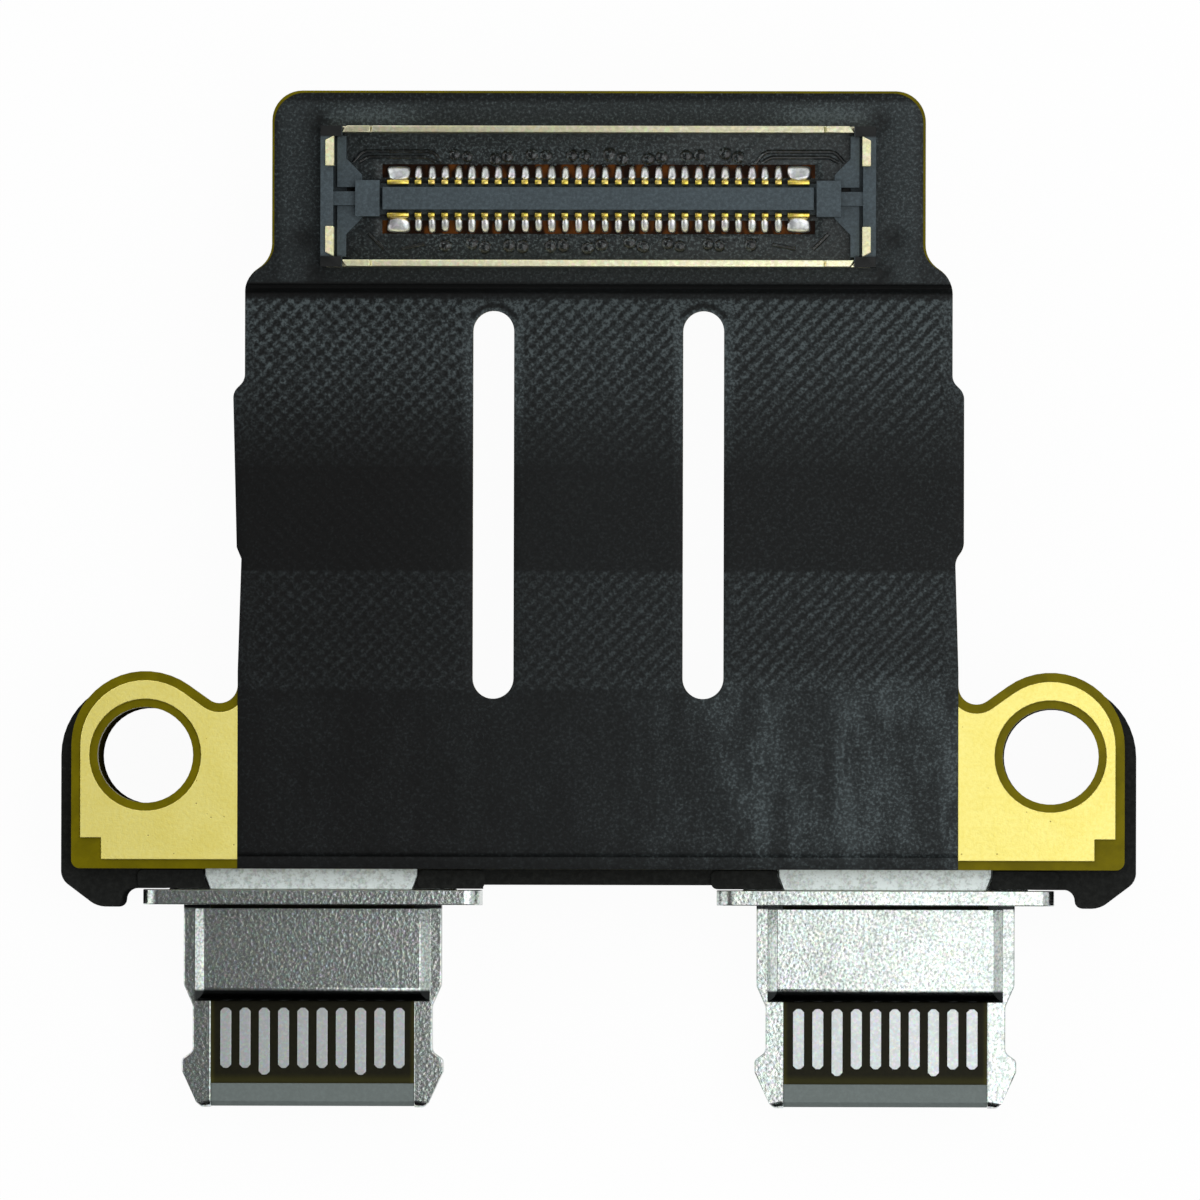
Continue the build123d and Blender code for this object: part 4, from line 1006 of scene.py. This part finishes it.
class INPUTBOARD_OT_film_marks(bpy.types.Operator):
    """Makes the bumps of the vias and the raised tracks under the film inside the connector"""

    bl_idname = "input_board.film_marks"
    bl_label = "Film marks"

    def execute(self, context):
        relief = settings("relief")
        radius, height, apart = relief.bump_radius, relief.bump_height, 0.17
        bead_radius, bead_height = 0.035, 0.03
        pair = mound(radius, radius, height, middles=(-apart, apart))
        single = mound(radius, radius, height)
        bead = mound(bead_radius, bead_radius, bead_height)
        rows = []
        for index, (item, first, count, pitch, up, shift, swell) in enumerate((
            (pair, -3.53, 8, 1.0, 1.1, 0.04, 0.12),
            (pair, -3.13, 7, 1.02, -1.19, 0.04, 0.12),
            (single, -3.95, 2, 7.9, -1.19, 0.03, 0.1),
            (bead, -4.1, 44, 0.19, 0.94, 0.07, 0.5),
            (bead, -4.3, 46, 0.19, -1.0, 0.07, 0.5),
        )):
            start, seed = (first, ROW_MIDDLE + up, SEAT), relief.seed + index
            rows.append(row(item, "coverlay_film", count, pitch, start, shift, 0.3, swell, seed))
        add_piece("via_bumps", joined(rows, "via_bumps"), "coverlay_film")
        self.tracks(relief)
        return {"FINISHED"}

    def tracks(self, relief):
        """Raised tracks: two nested loops at each upper corner, and a slanted one at each lower corner."""
        paths = []
        for side in (-1, 1):
            for inset in (0.0, 0.15):
                paths.append([
                    (side * (4.05 + inset), LINK_MIDDLE + 0.88),
                    (side * (4.3 + inset), LINK_MIDDLE + 1.18 - inset),
                    (side * (6.1 - inset), LINK_MIDDLE + 1.18 - inset),
                    (side * (6.35 - inset), LINK_MIDDLE + 0.9),
                ])
            paths.append([(side * 5.95, LINK_MIDDLE - 0.95), (side * 5.55, LINK_MIDDLE - 1.35)])
            paths.append([(side * 4.5, LINK_MIDDLE - 1.22), (side * 5.1, LINK_MIDDLE - 1.34)])
        curve = bpy.data.curves.new("tracks", "CURVE")
        curve.dimensions = "3D"
        for path in paths:
            spline = curve.splines.new("POLY")
            spline.points.add(len(path) - 1)
            for point, (x, y) in zip(spline.points, path):
                point.co = (x * MM, y * MM, SEAT * MM, 1)
        values = {
            "Radius": relief.track_radius * MM,
            "Corner": relief.track_corner * MM,
            "Material": finish("coverlay_film"),
        }
        ridges = run_tree(placed("tracks", curve), ridge_tree(), values)
        add_piece("film_tracks", ridges, "coverlay_film")


class INPUTBOARD_OT_carrier(bpy.types.Operator):
    """Rounds the edges of the black carrier"""

    bl_idname = "input_board.carrier"
    bl_label = "Carrier"

    def execute(self, context):
        def corner(first, second):
            """Whether an edge is an upright one at the carrier's outer silhouette."""
            outside = abs(first.x) > 11 and first.y < -2.5
            return outside and (first - second).xy.length < WELD

        relief = settings("relief")
        shape = welded("carrier")
        round_edges(shape, relief.carrier_corner, corner)
        soften("carrier", relief.soft_edge, 2, shape)
        return {"FINISHED"}


class INPUTBOARD_OT_link(bpy.types.Operator):
    """Rounds the housing and the shields of the board-to-board connector"""

    bl_idname = "input_board.link"
    bl_label = "Connector housing and shields"

    def execute(self, context):
        relief = settings("relief")
        soften("link_housing", relief.fine_edge)
        for name, _ in ROWS:
            soften(name + "_shield", relief.shield_edge, 3)
        return {"FINISHED"}


class INPUTBOARD_OT_link_contacts(bpy.types.Operator):
    """Makes the gold hooks of both contact rows and their wide power contacts"""

    bl_idname = "input_board.link_contacts"
    bl_label = "Connector contacts"

    def execute(self, context):
        for name, side in ROWS:
            for kind, count, width, edge in (("signal", SIGNALS, 0.165, 0.012), ("power", 2, 0.56, 0.015)):
                node = f"{name}_{kind}_contacts"
                pitch, first = spacing(node, count, width)
                hook = contact_hook(width, side, edge)
                hooks = row(hook, "contact_gold", count, pitch, (first, ROW_MIDDLE, SEAT))
                add_piece(node + "_hooks", joined([hooks], node), "contact_gold", [node])
        return {"FINISHED"}


class INPUTBOARD_OT_solder(bpy.types.Operator):
    """Makes the solder joints: a drop at each signal contact and a wide one at each power contact"""

    bl_idname = "input_board.solder"
    bl_label = "Solder joints"

    def execute(self, context):
        seed, spread, inward = settings("relief").seed, 1.25, 0.045
        for name, side in ROWS:
            node = name + "_solder"
            half, height = (high(node).y - low(node).y) / 2 * spread, high(node).z - DECK
            drop = mound(0.1, half, height, -0.2 if side > 0 else 0.05, 3.5, lean=-0.5 * side)
            pool = mound(0.3, half, height, 0.08 * side, 5.0, lean=-0.4 * side)
            joints = []
            for kind, item, count, width, shift, swell, seed_step in (
                ("signal", drop, SIGNALS, 0.18, 0.008, 0.08, 0),
                ("power", pool, 2, 0.57, 0.01, 0.05, 5),
            ):
                pitch, first = spacing(f"{name}_{kind}_contacts", count, width)
                start = (first, middle(node, 1) - side * inward, DECK)
                joints.append(row(item, "solder", count, pitch, start, shift, 0.03, swell, seed + seed_step))
            add_piece(node + "_drops", joined(joints, node), "solder", [node])
        return {"FINISHED"}


class INPUTBOARD_OT_ports(bpy.types.Operator):
    """Rounds the metal of both ports and dresses their tongues"""

    bl_idname = "input_board.ports"
    bl_label = "Ports"

    def execute(self, context):
        relief = settings("relief")
        for side in SIDES:
            soften(side + "_port_shell", relief.metal_edge)
            for piece in ("upper_shoulder", "lower_shoulder"):
                self.shoulder(f"{side}_{piece}", relief)
            self.tongue(side + "_tongue_frame", relief)
            soften(side + "_nose", relief.fine_edge)
            for piece in ("insulator", "upper_contacts", "lower_contacts"):
                dress(f"{side}_{piece}")
        return {"FINISHED"}

    def shoulder(self, node, relief):
        """Softens a shoulder plate, whose rounded front edge is drawn out along the plate."""
        shape = welded(node)
        front, bend = low(node).y, 0.31
        for vertex in shape.verts:
            if vertex.co.y < front + bend:
                vertex.co.y = front + (vertex.co.y - front) * relief.front_stretch
        soften(node, relief.metal_edge, 2, shape)

    def tongue(self, node, relief):
        """Softens a tongue's frame, with the level edges across its tips rounded more."""
        front = low(node).y

        def across(first, second):
            """Whether an edge is a level one across the front."""
            level = abs(first.z - second.z) < WELD and abs(first.x - second.x) > 0.1
            return level and max(first.y, second.y) < front + WELD

        shape = welded(node)
        round_edges(shape, relief.tip_round, across)
        soften(node, relief.rail_edge, 3, shape)


class INPUTBOARD_OT_port_contacts(bpy.types.Operator):
    """Makes the round-ended plated faces of the ports' contacts"""

    bl_idname = "input_board.port_contacts"
    bl_label = "Port contact faces"

    def execute(self, context):
        width, thick, proud, pitch, back = 0.268, 0.03, 0.004, 0.5, -6.54
        short, long, middle_place = 1.57, 1.745, 4.5
        for side, x in (("left", -PORT_X), ("right", PORT_X)):
            for name, up in ROWS:
                node = f"{side}_{name}_contacts"
                level = self.face_level(node, up) + up * (proud - thick / 2)
                rows = []
                for length, first, count, step in (
                    (short, 0, 2, 1), (short, 3, 4, 1), (short, 8, 2, 1), (long, 2, 2, 5),
                ):
                    start = (x + (first - middle_place) * pitch, back - length / 2, level)
                    item = pill(width, length, thick, "contact_face")
                    rows.append(row(item, "port_contact_plating", count, step * pitch, start))
                faces = joined(rows, node, math.radians(22))
                add_piece(node + "_faces", faces, "port_contact_plating")
        return {"FINISHED"}

    def face_level(self, node, up):
        """The height of the contacts' outer faces, read between the blades' two ends."""
        corners, blades = frame["nodes"][node].data.vertices, -7
        heights = [vertex.co.z / MM for vertex in corners if vertex.co.y / MM < blades]
        return max(heights) if up > 0 else min(heights)


class INPUTBOARD_OT_stage(bpy.types.Operator):
    """Makes the floor, the soft light and the camera"""

    bl_idname = "input_board.stage"
    bl_label = "Stage"

    def execute(self, context):
        stage = settings("stage")
        self.floor()
        self.card()
        self.sky(stage)
        self.lamps(stage)
        self.camera(stage)
        context.scene.view_settings.view_transform = "Standard"
        return {"FINISHED"}

    def sheet(self, name, corners, material):
        """A flat sheet through four corners that are in millimetres."""
        mesh = bpy.data.meshes.new(name)
        mesh.from_pydata([Vector(corner) * MM for corner in corners], [], [(0, 1, 2, 3)])
        mesh.materials.append(material)
        return placed(name, mesh)

    def floor(self):
        """A wide pale sheet that the board rests on."""
        half, bottom = 600, cad_low.z / MM
        corners = [(-half, -half, bottom), (half, -half, bottom), (half, half, bottom), (-half, half, bottom)]
        paper = Surface("floor", {"Specular IOR Level": 0.0})
        fibre = paper.noise(0.4, 3.0)
        paper.paint(Base_Color=paper.blend(fibre, srgb(252, 252, 252), srgb(249, 250, 250)), Roughness=0.9)
        rays = paper.node("ShaderNodeLightPath").outputs
        kinds = ("Is Camera Ray", "Is Glossy Ray", "Is Transmission Ray")
        seen = sum(Field(paper, rays[kind]) for kind in kinds)
        glow = paper.node("ShaderNodeEmission", (), {"Strength": 1.0})
        inputs = {0: seen * 0.96, 1: paper.shader.outputs[0], 2: glow.outputs[0]}
        mixed = paper.node("ShaderNodeMixShader", (), inputs)
        paper.feed(paper.tree.nodes["Material Output"].inputs["Surface"], mixed.outputs[0])
        sheet = self.sheet("floor", corners, paper.material)

    def card(self):
        """A black card that stands low in front, out of the picture, and darkens what faces it."""
        half, front, bottom, top = 60, -26, cad_low.z / MM, 26
        corners = [(-half, front, bottom), (half, front, bottom), (half, front, top), (-half, front, top)]
        felt = Surface("card", {"Specular IOR Level": 0.0})
        felt.paint(Base_Color=felt.blend(felt.noise(0.5), srgb(12, 12, 12), srgb(20, 20, 20)), Roughness=0.9)
        sheet = self.sheet("card", corners, felt.material)
        sheet.visible_camera = False
        sheet.visible_diffuse = False

    def sky(self, stage):
        """Soft light all round: bright from low down, dim from right above."""
        world = bpy.data.worlds.new("studio")
        world.use_nodes = True
        bpy.context.scene.world = world
        tree = Tree(world.node_tree)
        where = tree.node("ShaderNodeTexCoord")
        split = tree.node("ShaderNodeSeparateXYZ", (), {0: where.outputs["Generated"]})
        up = Field(tree, split.outputs[2])
        front = (-Field(tree, split.outputs[1])).rise(0.1, 0.7)
        right = Field(tree, split.outputs[0]).rise(0.3, 0.8)
        around = (1 - up.rise(0.58, 0.9)) * (1 - front * stage.front_shade) * (1 - right * stage.right_shade)
        level = stage.overhead_level + around * (stage.horizon_level - stage.overhead_level)
        background = world.node_tree.nodes["Background"]
        background.inputs["Color"].default_value = (1.0, 1.0, 1.0, 1.0)
        tree.feed(background.inputs["Strength"], level)

    def lamps(self, stage):
        """A soft lamp close by on the right, and a small one that gives the grain its glints."""
        self.lamp("key", (38, -4, 80), 76, stage.key_level)
        self.lamp("glint", (-30, 50, 80), 8, stage.glint_level)

    def lamp(self, name, place, side, level):
        """A square soft lamp of that brightness that faces down. Sizes are in millimetres."""
        light = bpy.data.lights.new(name, "AREA")
        light.shape = "SQUARE"
        light.size = side * MM
        light.energy = math.pi * level * (side * MM) ** 2
        holder = placed(name, light)
        holder.location = Vector(place) * MM
        holder.visible_camera = False

    def camera(self, stage):
        """A long lens from above, leaning a little to the right and the front."""
        lens = bpy.data.cameras.new("camera")
        lens.sensor_width = 36
        lens.lens = lens.sensor_width * stage.camera_height / stage.frame_width
        lens.clip_start = 10 * MM
        lens.clip_end = 5
        holder = placed("camera", lens)
        aim = Vector((stage.aim_x, stage.aim_y, CORE_TOP)) * MM
        turn = Matrix.Rotation(stage.lean_right, 4, "Y") @ Matrix.Rotation(stage.lean_front, 4, "X")
        turn = turn @ Matrix.Rotation(stage.roll, 4, "Z")
        back = Matrix.Translation((0, 0, stage.camera_height * MM))
        holder.matrix_world = Matrix.Translation(aim) @ turn @ back
        bpy.context.scene.camera = holder


class INPUTBOARD_PT_panel(bpy.types.Panel):
    """Lists the steps that dress the board"""

    bl_idname = "INPUTBOARD_PT_panel"
    bl_label = "Input board"
    bl_space_type = "VIEW_3D"
    bl_region_type = "UI"
    bl_category = "Input board"

    def draw(self, context):
        for step in STEPS:
            self.layout.operator(step.bl_idname)


STEPS = (
    INPUTBOARD_OT_film,
    INPUTBOARD_OT_circuit,
    INPUTBOARD_OT_film_marks,
    INPUTBOARD_OT_carrier,
    INPUTBOARD_OT_link,
    INPUTBOARD_OT_link_contacts,
    INPUTBOARD_OT_solder,
    INPUTBOARD_OT_ports,
    INPUTBOARD_OT_port_contacts,
    INPUTBOARD_OT_stage,
)
CLASSES = (BoardColours, BoardRelief, BoardStage, InputBoard) + STEPS + (INPUTBOARD_PT_panel,)


def register():
    for item in CLASSES:
        bpy.utils.register_class(item)
    bpy.types.Scene.input_board = PointerProperty(type=InputBoard)


def unregister():
    del bpy.types.Scene.input_board
    for item in reversed(CLASSES):
        bpy.utils.unregister_class(item)


def main():
    register()
    for step in STEPS:
        group, name = step.bl_idname.split(".")
        getattr(getattr(bpy.ops, group), name)()


if __name__ == "__main__":
    main()
